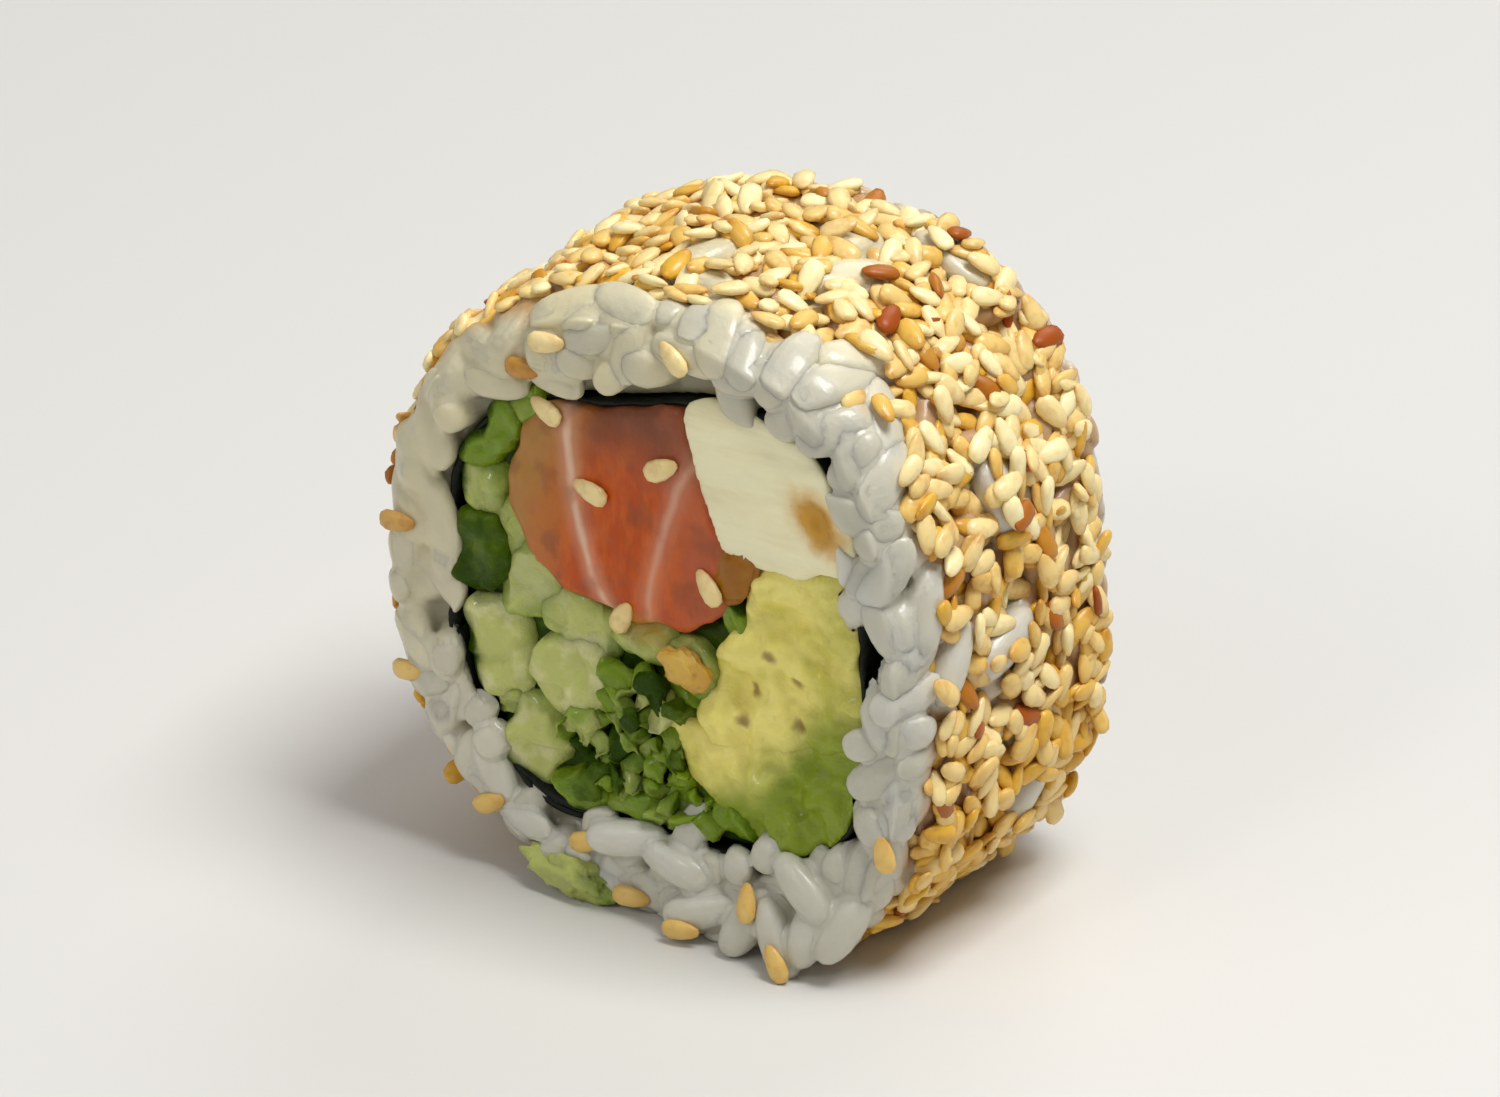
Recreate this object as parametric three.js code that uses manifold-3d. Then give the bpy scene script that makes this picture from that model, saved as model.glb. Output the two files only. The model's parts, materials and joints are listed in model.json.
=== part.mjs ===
// One slice of an inside-out sushi roll. Salmon, cream cheese, two avocado wedges and a bundle of
// cucumber shreds run through it from cut face to cut face, wrapped in a nori sheet. A thick ring of
// rice is packed round the nori, and toasted sesame seeds are pressed into the rice.
//
// Units are millimetres and +Z is up. The slice lies on its curved side, its two cut faces look
// along -Y and +Y, and the origin is the middle of the small flat that it rests on.
import * as THREE from "three";
import { mergeVertices } from "three/addons/utils/BufferGeometryUtils.js";
import Module from "manifold-3d";

const wasm = await Module();
wasm.setup();

// ---------------------------------------------------------------- driving dimensions
const SLICE_LENGTH = 24; // between the two cut faces
const HALF_LENGTH = SLICE_LENGTH / 2;
const CENTRE_HEIGHT = 22.2; // of the roll's axis above the foot

// A hand-rolled outline is a round plus a few waves. Angles are degrees from +X towards +Z.
const RICE_OUTLINE = {
  mean: 22.4,
  waves: [
    { count: 1, height: 0.4, peak: -30 },
    { count: 2, height: 0.75, peak: 98 },
    { count: 3, height: 0.7, peak: -56 },
    { count: 4, height: 0.65, peak: -46 },
  ],
};
const FILLING_OUTLINE = {
  mean: 17.0,
  waves: [
    { count: 1, height: 0.9, peak: -5 },
    { count: 2, height: 0.4, peak: 28 },
    { count: 3, height: 0.55, peak: -57 },
    { count: 4, height: 1.25, peak: -40 },
  ],
};
const SEAM = 0.3; // gap kept between neighbouring pieces
const NORI = { thickness: 0.5, lapStart: 199, lapEnd: 251, setBack: 0.25 };
const RICE_EDGE = { round: 1.5, bulge: 0.4 }; // at the cut faces, and at mid-length
const RING_SEGMENTS = 48;

const GRAIN = { length: 5.6, width: 2.8, sides: 5, rings: 3 };
const SEED = { length: 3.3, width: 2.1, thickness: 1.3, sides: 4, rings: 3 };
// How the small things are spread: how many, how far in from a face, how deep, how crooked.
const COAT = { seeds: 174, bareRim: 2.2, jitter: 0.4, lift: 0.2, tip: 0.15, size: [0.92, 1.1] };
const RIM = { grains: 9, fromFace: [1.0, 2.0], sunk: 0.8, tip: 0.15, size: 0.95 };
const FACE = { grains: 29, wall: [0.06, 0.62], sunk: 0.55, apart: 2.75, tip: 0.35, size: [0.85, 1.05] };
const LOOSE = { lift: 0.3, tip: 0.15 };
const SHRED = { width: 2.5, thickness: 1.9, spacing: 2.5, wanted: 30, uneven: [-0.7, 0.9], lean: 0.03 };

const COLOURS = {
  rice: 0xe4e2d6,
  nori: 0x16241c,
  salmon: 0xd2704c,
  cheese: 0xf1ebcf,
  avocado: 0xc9cc62,
  cucumber: 0x7fa650,
};

// ---------------------------------------------------------------- small helpers
const radians = THREE.MathUtils.degToRad;

/** A seeded random source, so that every run places the same grains. */
function randomSource(seed) {
  let state = seed;
  return () => {
    state = (state + 0x6d2b79f5) | 0;
    let mixed = Math.imul(state ^ (state >>> 15), 1 | state);
    mixed = (mixed + Math.imul(mixed ^ (mixed >>> 7), 61 | mixed)) ^ mixed;
    return ((mixed ^ (mixed >>> 14)) >>> 0) / 4294967296;
  };
}

function between(random, low, high) {
  return low + (high - low) * random();
}

/** Distance from the roll's axis to an outline, at an angle in radians. */
function radiusAt({ mean, waves }, angle) {
  const lumps = waves.map(({ count, height, peak }) => height * Math.cos(count * (angle - radians(peak))));
  return lumps.reduce((sum, lump) => sum + lump, mean);
}

/** The closed mesh of a geometry as a solid for joining and cutting. */
function solidFrom(geometry) {
  const bare = geometry.index ? geometry.toNonIndexed() : geometry.clone();
  bare.deleteAttribute("normal");
  bare.deleteAttribute("uv");
  const merged = mergeVertices(bare, 1e-4);
  return new wasm.Manifold(
    new wasm.Mesh({
      numProp: 3,
      vertProperties: merged.attributes.position.array,
      triVerts: new Uint32Array(merged.index.array),
    }),
  );
}

function geometryFrom(solid) {
  const mesh = solid.getMesh();
  const geometry = new THREE.BufferGeometry();
  geometry.setAttribute("position", new THREE.BufferAttribute(mesh.vertProperties, 3));
  geometry.setIndex(new THREE.BufferAttribute(mesh.triVerts, 1));
  geometry.computeVertexNormals();
  return geometry;
}

function joined(solids) {
  return solids.reduce((whole, solid) => whole.add(solid));
}

/** Joins in pairs, which keeps hundreds of small unions quick. */
function joinedInPairs(solids) {
  let round = solids;
  while (round.length > 1) {
    const next = [];
    for (let i = 0; i < round.length; i += 2) next.push(joined(round.slice(i, i + 2)));
    round = next;
  }
  return round[0];
}

/** The largest body of a solid, without the scraps that cutting leaves. */
function largestBody(solid) {
  return solid.decompose().reduce((best, body) => (body.volume() > best.volume() ? body : best));
}

// ---------------------------------------------------------------- rings round the axis
/**
 * A closed ring round the Y axis. The profile's x runs from 0 at the inner outline to 1 at the
 * outer one, and its y is the place along the slice.
 */
function ringGeometry(profile, innerRadius, outerRadius, segments) {
  const nominal = profile.map(([across, along]) => new THREE.Vector2(1 + across, along));
  const geometry = new THREE.LatheGeometry([...nominal, nominal[0]], segments);
  const place = geometry.attributes.position;
  for (let i = 0; i < place.count; i += 1) {
    const angle = Math.atan2(place.getZ(i), place.getX(i));
    const across = Math.hypot(place.getX(i), place.getZ(i)) - 1;
    const radius = THREE.MathUtils.lerp(innerRadius(angle), outerRadius(angle), across);
    place.setX(i, radius * Math.cos(angle));
    place.setZ(i, radius * Math.sin(angle));
  }
  return geometry;
}

const noriInner = (angle) => radiusAt(FILLING_OUTLINE, angle);

/** The nori is one layer, and two where the sheet's end laps over its start. */
function noriOuter(angle) {
  const degrees = THREE.MathUtils.euclideanModulo(THREE.MathUtils.radToDeg(angle), 360);
  const lapped = degrees > NORI.lapStart && degrees < NORI.lapEnd;
  return noriInner(angle) + NORI.thickness * (lapped ? 2 : 1);
}

const riceInner = (angle) => noriOuter(angle) + SEAM;
const riceOuter = (angle) => radiusAt(RICE_OUTLINE, angle);

function noriSolid() {
  const end = HALF_LENGTH - NORI.setBack;
  const profile = [[0, end], [0, -end], [1, -end], [1, end]];
  return solidFrom(ringGeometry(profile, noriInner, noriOuter, RING_SEGMENTS));
}

/** How far the rice stands in from its full outline at a place along the slice, from 0 to 1. */
function riceAcross(along) {
  const fromFace = HALF_LENGTH - Math.abs(along);
  const wall = RICE_OUTLINE.mean - FILLING_OUTLINE.mean - NORI.thickness - SEAM;
  const edge = Math.max(0, RICE_EDGE.round - fromFace) / RICE_EDGE.round;
  const rounding = RICE_EDGE.round * (1 - Math.sqrt(1 - edge * edge));
  const bulging = RICE_EDGE.bulge * Math.cos((along / HALF_LENGTH) * (Math.PI / 2));
  return 1 + (bulging - rounding) / wall;
}

function riceCore() {
  const stations = [-1, -0.97, -0.89, 0, 0.89, 0.97, 1].map((share) => share * HALF_LENGTH);
  const outside = stations.map((along) => [riceAcross(along), along]);
  const profile = [[0, HALF_LENGTH], [0, -HALF_LENGTH], ...outside];
  return solidFrom(ringGeometry(profile, riceInner, riceOuter, RING_SEGMENTS));
}

// ---------------------------------------------------------------- grains and seeds
/** A low-sided grain with blunt ends, its long axis along Y, drawn in towards one end by the taper. */
function grainGeometry({ length, width, thickness = width, sides, rings }, taper) {
  const geometry = new THREE.SphereGeometry(0.5, sides, rings);
  const place = geometry.attributes.position;
  for (let i = 0; i < place.count; i += 1) {
    const end = place.getY(i);
    const narrowing = 1 - taper * (end + 0.5);
    place.setX(i, place.getX(i) * narrowing);
    place.setY(i, 0.5 * Math.sign(end) * Math.abs(end * 2) ** 0.6);
    place.setZ(i, place.getZ(i) * narrowing);
  }
  return geometry.scale(width, length, thickness);
}

const grainSolid = solidFrom(grainGeometry(GRAIN, 0.15));
const seedSolid = solidFrom(grainGeometry(SEED, 0.45));

/** Lays a small solid on a surface: its thin side along the normal, turned and tipped a little. */
function laid(solid, point, normal, turn, tip, scale = 1) {
  const upright = new THREE.Quaternion().setFromUnitVectors(new THREE.Vector3(0, 0, 1), normal);
  const turned = new THREE.Quaternion().setFromEuler(new THREE.Euler(tip, 0, turn, "ZXY"));
  const matrix = new THREE.Matrix4().compose(
    point,
    upright.multiply(turned),
    new THREE.Vector3(scale, scale, scale),
  );
  return solid.transform(matrix.elements);
}

/** The unit vector that points away from the axis at an angle. */
function outward(angle) {
  return new THREE.Vector3(Math.cos(angle), 0, Math.sin(angle));
}

/** A point on the rice's outside and the normal there, from the angle and place along. */
function riceSurface(angle, along, lift) {
  const wallShare = riceAcross(along);
  const radius = THREE.MathUtils.lerp(riceInner(angle), riceOuter(angle), wallShare) + lift;
  const step = 0.02;
  const slope = (riceOuter(angle + step) - riceOuter(angle - step)) / (2 * step) / radius;
  const lean = ((riceAcross(along + step) - wallShare) / step) * (riceOuter(angle) - riceInner(angle));
  const round = new THREE.Vector3(-Math.sin(angle), 0, Math.cos(angle));
  const normal = outward(angle).addScaledVector(round, -slope);
  normal.y = -lean;
  return { point: outward(angle).multiplyScalar(radius).setY(along), normal: normal.normalize() };
}

/** Seeds over the coated outside, spread evenly by the golden angle. */
function coatSeeds() {
  const random = randomSource(11);
  const golden = Math.PI * (3 - Math.sqrt(5));
  const coated = HALF_LENGTH - COAT.bareRim;
  const seeds = [];
  for (let i = 0; i < COAT.seeds; i += 1) {
    const even = -coated + (2 * coated * (i + 0.5)) / COAT.seeds;
    const along = even + between(random, -COAT.jitter, COAT.jitter);
    const angle = i * golden + between(random, -0.03, 0.03);
    const { point, normal } = riceSurface(angle, along, between(random, 0, COAT.lift));
    const size = between(random, ...COAT.size);
    const turn = between(random, 0, Math.PI * 2);
    seeds.push(laid(seedSolid, point, normal, turn, between(random, -COAT.tip, COAT.tip), size));
  }
  return seeds;
}

/** Rice grains round both rims, where the coat of seeds stops short of the cut. */
function rimGrains() {
  const random = randomSource(23);
  const grains = [];
  for (const side of [-1, 1]) {
    for (let i = 0; i < RIM.grains; i += 1) {
      const angle = ((i + between(random, -0.3, 0.3)) / RIM.grains) * Math.PI * 2;
      const along = side * (HALF_LENGTH - between(random, ...RIM.fromFace));
      const { point, normal } = riceSurface(angle, along, -RIM.sunk);
      const turn = between(random, 0, Math.PI);
      grains.push(laid(grainSolid, point, normal, turn, between(random, -RIM.tip, RIM.tip), RIM.size));
    }
  }
  return grains;
}

/** Grains on both cut faces of the ring, thrown at random but never too close together. */
function faceGrains() {
  const random = randomSource(37);
  const grains = [];
  for (const side of [-1, 1]) {
    const normal = new THREE.Vector3(0, side, 0);
    const taken = [];
    for (let attempt = 0; attempt < 6000 && taken.length < FACE.grains; attempt += 1) {
      const angle = between(random, 0, Math.PI * 2);
      const share = Math.sqrt(between(random, ...FACE.wall));
      const radius = THREE.MathUtils.lerp(riceInner(angle), riceOuter(angle), share);
      const point = outward(angle).multiplyScalar(radius).setY(side * (HALF_LENGTH - FACE.sunk));
      if (taken.some((other) => other.distanceTo(point) < FACE.apart)) continue;
      taken.push(point);
      const tip = between(random, -FACE.tip, FACE.tip);
      const turn = between(random, 0, Math.PI);
      grains.push(laid(grainSolid, point, normal, turn, tip, between(random, ...FACE.size)));
    }
  }
  return grains;
}

/** Loose seeds on the front cut face, as [x, z from the axis, turn in degrees]. */
const LOOSE_ON_RICE = [
  [-19.7, 2.8, 20], [-18, -10, 10], [-9.4, 15.8, 80], [-6.4, 19, 70], [2.5, 19.9, 60],
  [-4.5, -18.6, 70], [9, -18.6, 120], [-12.3, -17.6, 60],
];
const LOOSE_ON_SALMON = [[-4.3, 8.5, 80], [1.2, 12.1, 140]];
const LOOSE_ON_CUCUMBER = [[-2.1, -2.3, 30], [1.2, -5.8, 60]];

function looseSeeds(places, side, depth) {
  return places.map(([x, z, turn]) => {
    const point = new THREE.Vector3(x, side * depth, z);
    return laid(seedSolid, point, new THREE.Vector3(0, side, 0), radians(turn), LOOSE.tip);
  });
}

/** Cuts away all that is below the foot, which is CENTRE_HEIGHT under the axis. */
function flattenedFoot(solid) {
  const block = new THREE.BoxGeometry(80, 80, 20).translate(0, 0, -CENTRE_HEIGHT - 10);
  return solid.subtract(solidFrom(block));
}

function riceSolid() {
  const loose = looseSeeds(LOOSE_ON_RICE, -1, HALF_LENGTH + LOOSE.lift);
  const small = [...coatSeeds(), ...rimGrains(), ...faceGrains(), ...loose];
  const bore = prismSolid(angleOutline(riceInner), SLICE_LENGTH + 10, 0);
  const clear = small.map((piece) => piece.subtract(bore));
  return largestBody(flattenedFoot(joinedInPairs([riceCore(), ...clear])));
}

// ---------------------------------------------------------------- the filling
// Cut-face outlines, [x, z from the axis]. They may run over their neighbours, because each piece
// is cut back by those placed before it and by the nori.
const SALMON = [
  [-11.3, 7.4], [-9.8, 11.4], [-6.6, 14.9], [-1.5, 18], [1.3, 18.5], [3.6, 12.6], [4.7, 9],
  [6.1, 6.6], [6.2, 3.2], [4.2, 0.7], [0.3, 0], [-3.4, 0], [-6.1, 0.5], [-9.1, 1.8], [-10.6, 4.6],
];
const CHEESE = [
  [1.3, 18.5], [8.5, 20], [13.5, 18.5], [18.5, 14], [18.5, 9.6], [14.9, 7.8], [10.4, 6.4],
  [8.1, 6.6], [6.1, 6.9], [4.7, 9], [3.6, 12.6],
];
const AVOCADO_UPPER = [
  [8.6, 6], [10.4, 6.2], [14.9, 7.6], [18.5, 9], [19, 1.7], [18.6, -4], [13.1, -6.3], [8.5, -7.2],
  [4.2, -7.4], [4.6, -4], [5.8, -1], [8, 3],
];
const AVOCADO_LOWER = [
  [1.7, -6.7], [4.2, -7.7], [8.5, -7.5], [13.1, -6.6], [19, -4.2], [19, -9], [17, -15], [14.6, -18],
  [10.8, -15.2], [7.6, -13], [3.2, -10.4],
];
const CUCUMBER = [
  [-9.2, 14.6], [-19.5, 10.5], [-19.5, -9.8], [-11.7, -20], [0, -20], [12.6, -18.5], [9.6, -12],
  [6.8, -6.8], [7.2, 0.3], [8.6, 5.2], [6.4, 6.4], [2.9, 3.4], [-4.9, 4.4], [-7.8, 6.4],
];
const FILLING_LENGTH = {
  salmon: 24.4,
  cheese: 24.8,
  avocadoUpper: 23.8,
  avocadoLower: 24.1,
  cucumberCore: 22.6,
};

/** A smooth closed curve through the outline's points, sampled evenly. */
function smoothOutline(points, samples) {
  const corners = points.map(([x, z]) => new THREE.Vector3(x, z, 0));
  const curve = new THREE.CatmullRomCurve3(corners, true, "centripetal");
  return curve.getSpacedPoints(samples).slice(0, -1).map(({ x, y }) => new THREE.Vector2(x, y));
}

/** The closed outline that a radius makes round the axis, with its corners in line with the rings'. */
function angleOutline(radiusOf) {
  return Array.from({ length: RING_SEGMENTS }, (_, i) => {
    const angle = (i / RING_SEGMENTS) * Math.PI * 2;
    return new THREE.Vector2(Math.cos(angle), Math.sin(angle)).multiplyScalar(radiusOf(angle));
  });
}

/** Moves every point of a closed outline outwards by a distance. */
function grownOutline(outline, distance) {
  const spin = THREE.ShapeUtils.isClockWise(outline) ? -1 : 1;
  return outline.map((point, i) => {
    const before = outline[(i + outline.length - 1) % outline.length];
    const after = outline[(i + 1) % outline.length];
    const along = after.clone().sub(before).normalize();
    return new THREE.Vector2(point.x + spin * along.y * distance, point.y - spin * along.x * distance);
  });
}

/** A prism along the slice over an outline, centred on mid-length, with softened end edges. */
function prismSolid(outline, length, soften) {
  const geometry = new THREE.ExtrudeGeometry(new THREE.Shape(outline), {
    depth: length - 2 * soften,
    bevelEnabled: soften > 0,
    bevelSegments: 1,
    bevelSize: soften,
    bevelThickness: soften,
    bevelOffset: -soften,
  });
  return solidFrom(geometry.rotateX(Math.PI / 2).translate(0, length / 2 - soften, 0));
}

/** All the room inside the nori, with the seam left free. */
function fillingRoom() {
  return prismSolid(angleOutline((angle) => noriInner(angle) - SEAM), SLICE_LENGTH + 10, 0);
}

const room = fillingRoom();
const keepOut = []; // the pieces placed so far, each a seam wider, as cutters

/** One piece of filling: its outline cut back by the nori and by the pieces before it. */
function fillingPiece(points, length, samples) {
  const outline = smoothOutline(points, samples);
  const whole = prismSolid(outline, length, 0.35).intersect(room);
  const piece = keepOut.length ? whole.subtract(joined(keepOut)) : whole;
  keepOut.push(prismSolid(grownOutline(outline, SEAM), SLICE_LENGTH + 10, 0));
  return largestBody(piece);
}

/** Square shreds side by side along the slice, with uneven ends, fused over a shorter core. */
function cucumberBundle() {
  const outline = smoothOutline(CUCUMBER, 60);
  const region = prismSolid(outline, SLICE_LENGTH + 6, 0).intersect(room).subtract(joined(keepOut));
  const slab = solidFrom(new THREE.BoxGeometry(60, FILLING_LENGTH.cucumberCore, 60));
  const core = largestBody(region.intersect(slab));
  const random = randomSource(53);
  const taken = [];
  const shreds = [];
  for (let attempt = 0; attempt < 4000 && taken.length < SHRED.wanted; attempt += 1) {
    const place = new THREE.Vector2(between(random, -17, 9), between(random, -16, 16));
    if (taken.some((other) => other.distanceTo(place) < SHRED.spacing)) continue;
    const probe = new THREE.BoxGeometry(1.2, 1, 1.2).translate(place.x, 0, place.y);
    if (region.intersect(solidFrom(probe)).volume() < 1.2) continue;
    taken.push(place);
    const length = SLICE_LENGTH + between(random, ...SHRED.uneven);
    const width = SHRED.width * between(random, 0.8, 1.15);
    const shred = new THREE.BoxGeometry(width, length, SHRED.thickness);
    shred.rotateY(between(random, 0, Math.PI)).rotateX(between(random, -SHRED.lean, SHRED.lean));
    shred.translate(place.x, between(random, -0.35, 0.35), place.y);
    shreds.push(solidFrom(shred).intersect(region));
  }
  return { bundle: largestBody(joinedInPairs([core, ...shreds])), region };
}

// ---------------------------------------------------------------- assembly
const roll = new THREE.Group();
roll.position.z = CENTRE_HEIGHT;

function addPiece(name, solid, colour, roughness) {
  const material = new THREE.MeshStandardMaterial({ color: colour, roughness, metalness: 0 });
  const mesh = new THREE.Mesh(geometryFrom(solid), material);
  mesh.name = name;
  roll.add(mesh);
}

const salmon = fillingPiece(SALMON, FILLING_LENGTH.salmon, 28);
const cheese = fillingPiece(CHEESE, FILLING_LENGTH.cheese, 28);
const avocadoUpper = fillingPiece(AVOCADO_UPPER, FILLING_LENGTH.avocadoUpper, 28);
const avocadoLower = fillingPiece(AVOCADO_LOWER, FILLING_LENGTH.avocadoLower, 28);
const cucumber = cucumberBundle();

const salmonSeeds = looseSeeds(LOOSE_ON_SALMON, -1, FILLING_LENGTH.salmon / 2 + LOOSE.lift);
const cucumberSeeds = looseSeeds(LOOSE_ON_CUCUMBER, -1, HALF_LENGTH - 0.1);
const cucumberPieces = [cucumber.bundle, ...cucumberSeeds.map((seed) => seed.intersect(cucumber.region))];

addPiece("rice_with_sesame", riceSolid(), COLOURS.rice, 0.6);
addPiece("nori_sheet", noriSolid(), COLOURS.nori, 0.5);
addPiece("salmon_strip", joined([salmon, ...salmonSeeds]), COLOURS.salmon, 0.35);
addPiece("cream_cheese_strip", cheese, COLOURS.cheese, 0.5);
addPiece("avocado_wedge_upper", avocadoUpper, COLOURS.avocado, 0.45);
addPiece("avocado_wedge_lower", avocadoLower, COLOURS.avocado, 0.45);
addPiece("cucumber_shreds", largestBody(joined(cucumberPieces)), COLOURS.cucumber, 0.35);

export default roll;
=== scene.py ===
"""One slice of an inside-out sushi roll, dressed for a studio picture.

Everything is modelled in the roll's own space: millimetres, the roll's axis along Y through the
origin, the cut face that the picture shows towards -Y, and Z up. ``RollShape.seat`` takes a
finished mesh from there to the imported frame, which is in metres and has its origin at the foot.
"""

from __future__ import annotations

import json
import logging
import math
import random
from collections.abc import Callable
from dataclasses import dataclass, field
from enum import Enum

import bmesh
import bpy
import numpy as np
from mathutils import Matrix, Quaternion, Vector, noise
from mathutils.bvhtree import BVHTree

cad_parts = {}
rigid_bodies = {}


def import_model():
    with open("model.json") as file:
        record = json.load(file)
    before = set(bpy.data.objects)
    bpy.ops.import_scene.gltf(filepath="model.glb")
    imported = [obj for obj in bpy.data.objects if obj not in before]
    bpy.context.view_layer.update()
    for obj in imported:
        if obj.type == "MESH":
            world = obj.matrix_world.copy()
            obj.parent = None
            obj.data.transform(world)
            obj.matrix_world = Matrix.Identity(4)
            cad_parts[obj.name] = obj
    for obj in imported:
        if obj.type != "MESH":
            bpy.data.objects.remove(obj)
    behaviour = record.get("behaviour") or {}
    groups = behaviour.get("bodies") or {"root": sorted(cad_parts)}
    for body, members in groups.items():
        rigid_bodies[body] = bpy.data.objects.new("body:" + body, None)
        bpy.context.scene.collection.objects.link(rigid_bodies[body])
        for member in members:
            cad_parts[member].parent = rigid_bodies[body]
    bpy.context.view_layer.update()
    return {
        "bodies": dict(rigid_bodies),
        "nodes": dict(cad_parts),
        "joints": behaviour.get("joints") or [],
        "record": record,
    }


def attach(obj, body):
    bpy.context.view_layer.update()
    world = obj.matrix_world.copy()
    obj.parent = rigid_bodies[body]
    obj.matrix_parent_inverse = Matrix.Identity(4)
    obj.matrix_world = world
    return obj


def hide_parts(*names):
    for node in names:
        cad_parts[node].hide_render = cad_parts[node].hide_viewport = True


LOG = logging.getLogger("sushi_slice")

MM = 0.001  # metres in a millimetre
WELD = 1e-7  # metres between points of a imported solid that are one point
BODY = "root"
NOISE_SEED = 2  # the vector noise starts from the clock unless it is seeded

Limit = Callable[[np.ndarray], np.ndarray]


# ------------------------------------------------------------------ materials: the node bench
def paint(code: str) -> tuple[float, float, float, float]:
    """Turns a colour code such as ``#d0c79d`` into the linear colour that sockets take.

    Args:
        code: The colour as it looks on a screen, red, green and blue in hexadecimal.

    Returns:
        The linear red, green and blue, and an alpha of 1.
    """
    shares = [int(code[i : i + 2], 16) / 255 for i in (1, 3, 5)]
    red, green, blue = (s / 12.92 if s <= 0.04045 else ((s + 0.055) / 1.055) ** 2.4 for s in shares)
    return red, green, blue, 1.0


class Signal:
    """An output of a material's nodes that takes part in Python arithmetic."""

    def __init__(self, bench: Bench, socket: bpy.types.NodeSocket) -> None:
        """Wraps a socket of a bench."""
        self.bench = bench
        self.socket = socket

    def __add__(self, other: Signal | float) -> Signal:
        """Adds."""
        return self.bench.maths("ADD", self, other)

    __radd__ = __add__

    def __mul__(self, other: Signal | float) -> Signal:
        """Multiplies."""
        return self.bench.maths("MULTIPLY", self, other)

    __rmul__ = __mul__

    def __sub__(self, other: Signal | float) -> Signal:
        """Takes the other away."""
        return self.bench.maths("SUBTRACT", self, other)

    def __rsub__(self, other: Signal | float) -> Signal:
        """Takes this away from the other."""
        return self.bench.maths("SUBTRACT", other, self)

    def __pow__(self, other: float) -> Signal:
        """Raises to a power."""
        return self.bench.maths("POWER", self, other)

    def __abs__(self) -> Signal:
        """Drops the sign."""
        return self.bench.maths("ABSOLUTE", self)


def soft(weight: float, radius: tuple[float, float, float], scale: float) -> dict[str, object]:
    """Gives the sockets for light that spreads under a skin: how much, and how far in each colour.

    Args:
        weight: How much of the light goes under, from 0 to 1.
        radius: How far red, green and blue go, as shares of the scale.
        scale: The scale in millimetres.

    Returns:
        The sockets' values.
    """
    return {
        "Subsurface Weight": weight,
        "Subsurface Radius": radius,
        "Subsurface Scale": scale * MM,
    }


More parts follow.
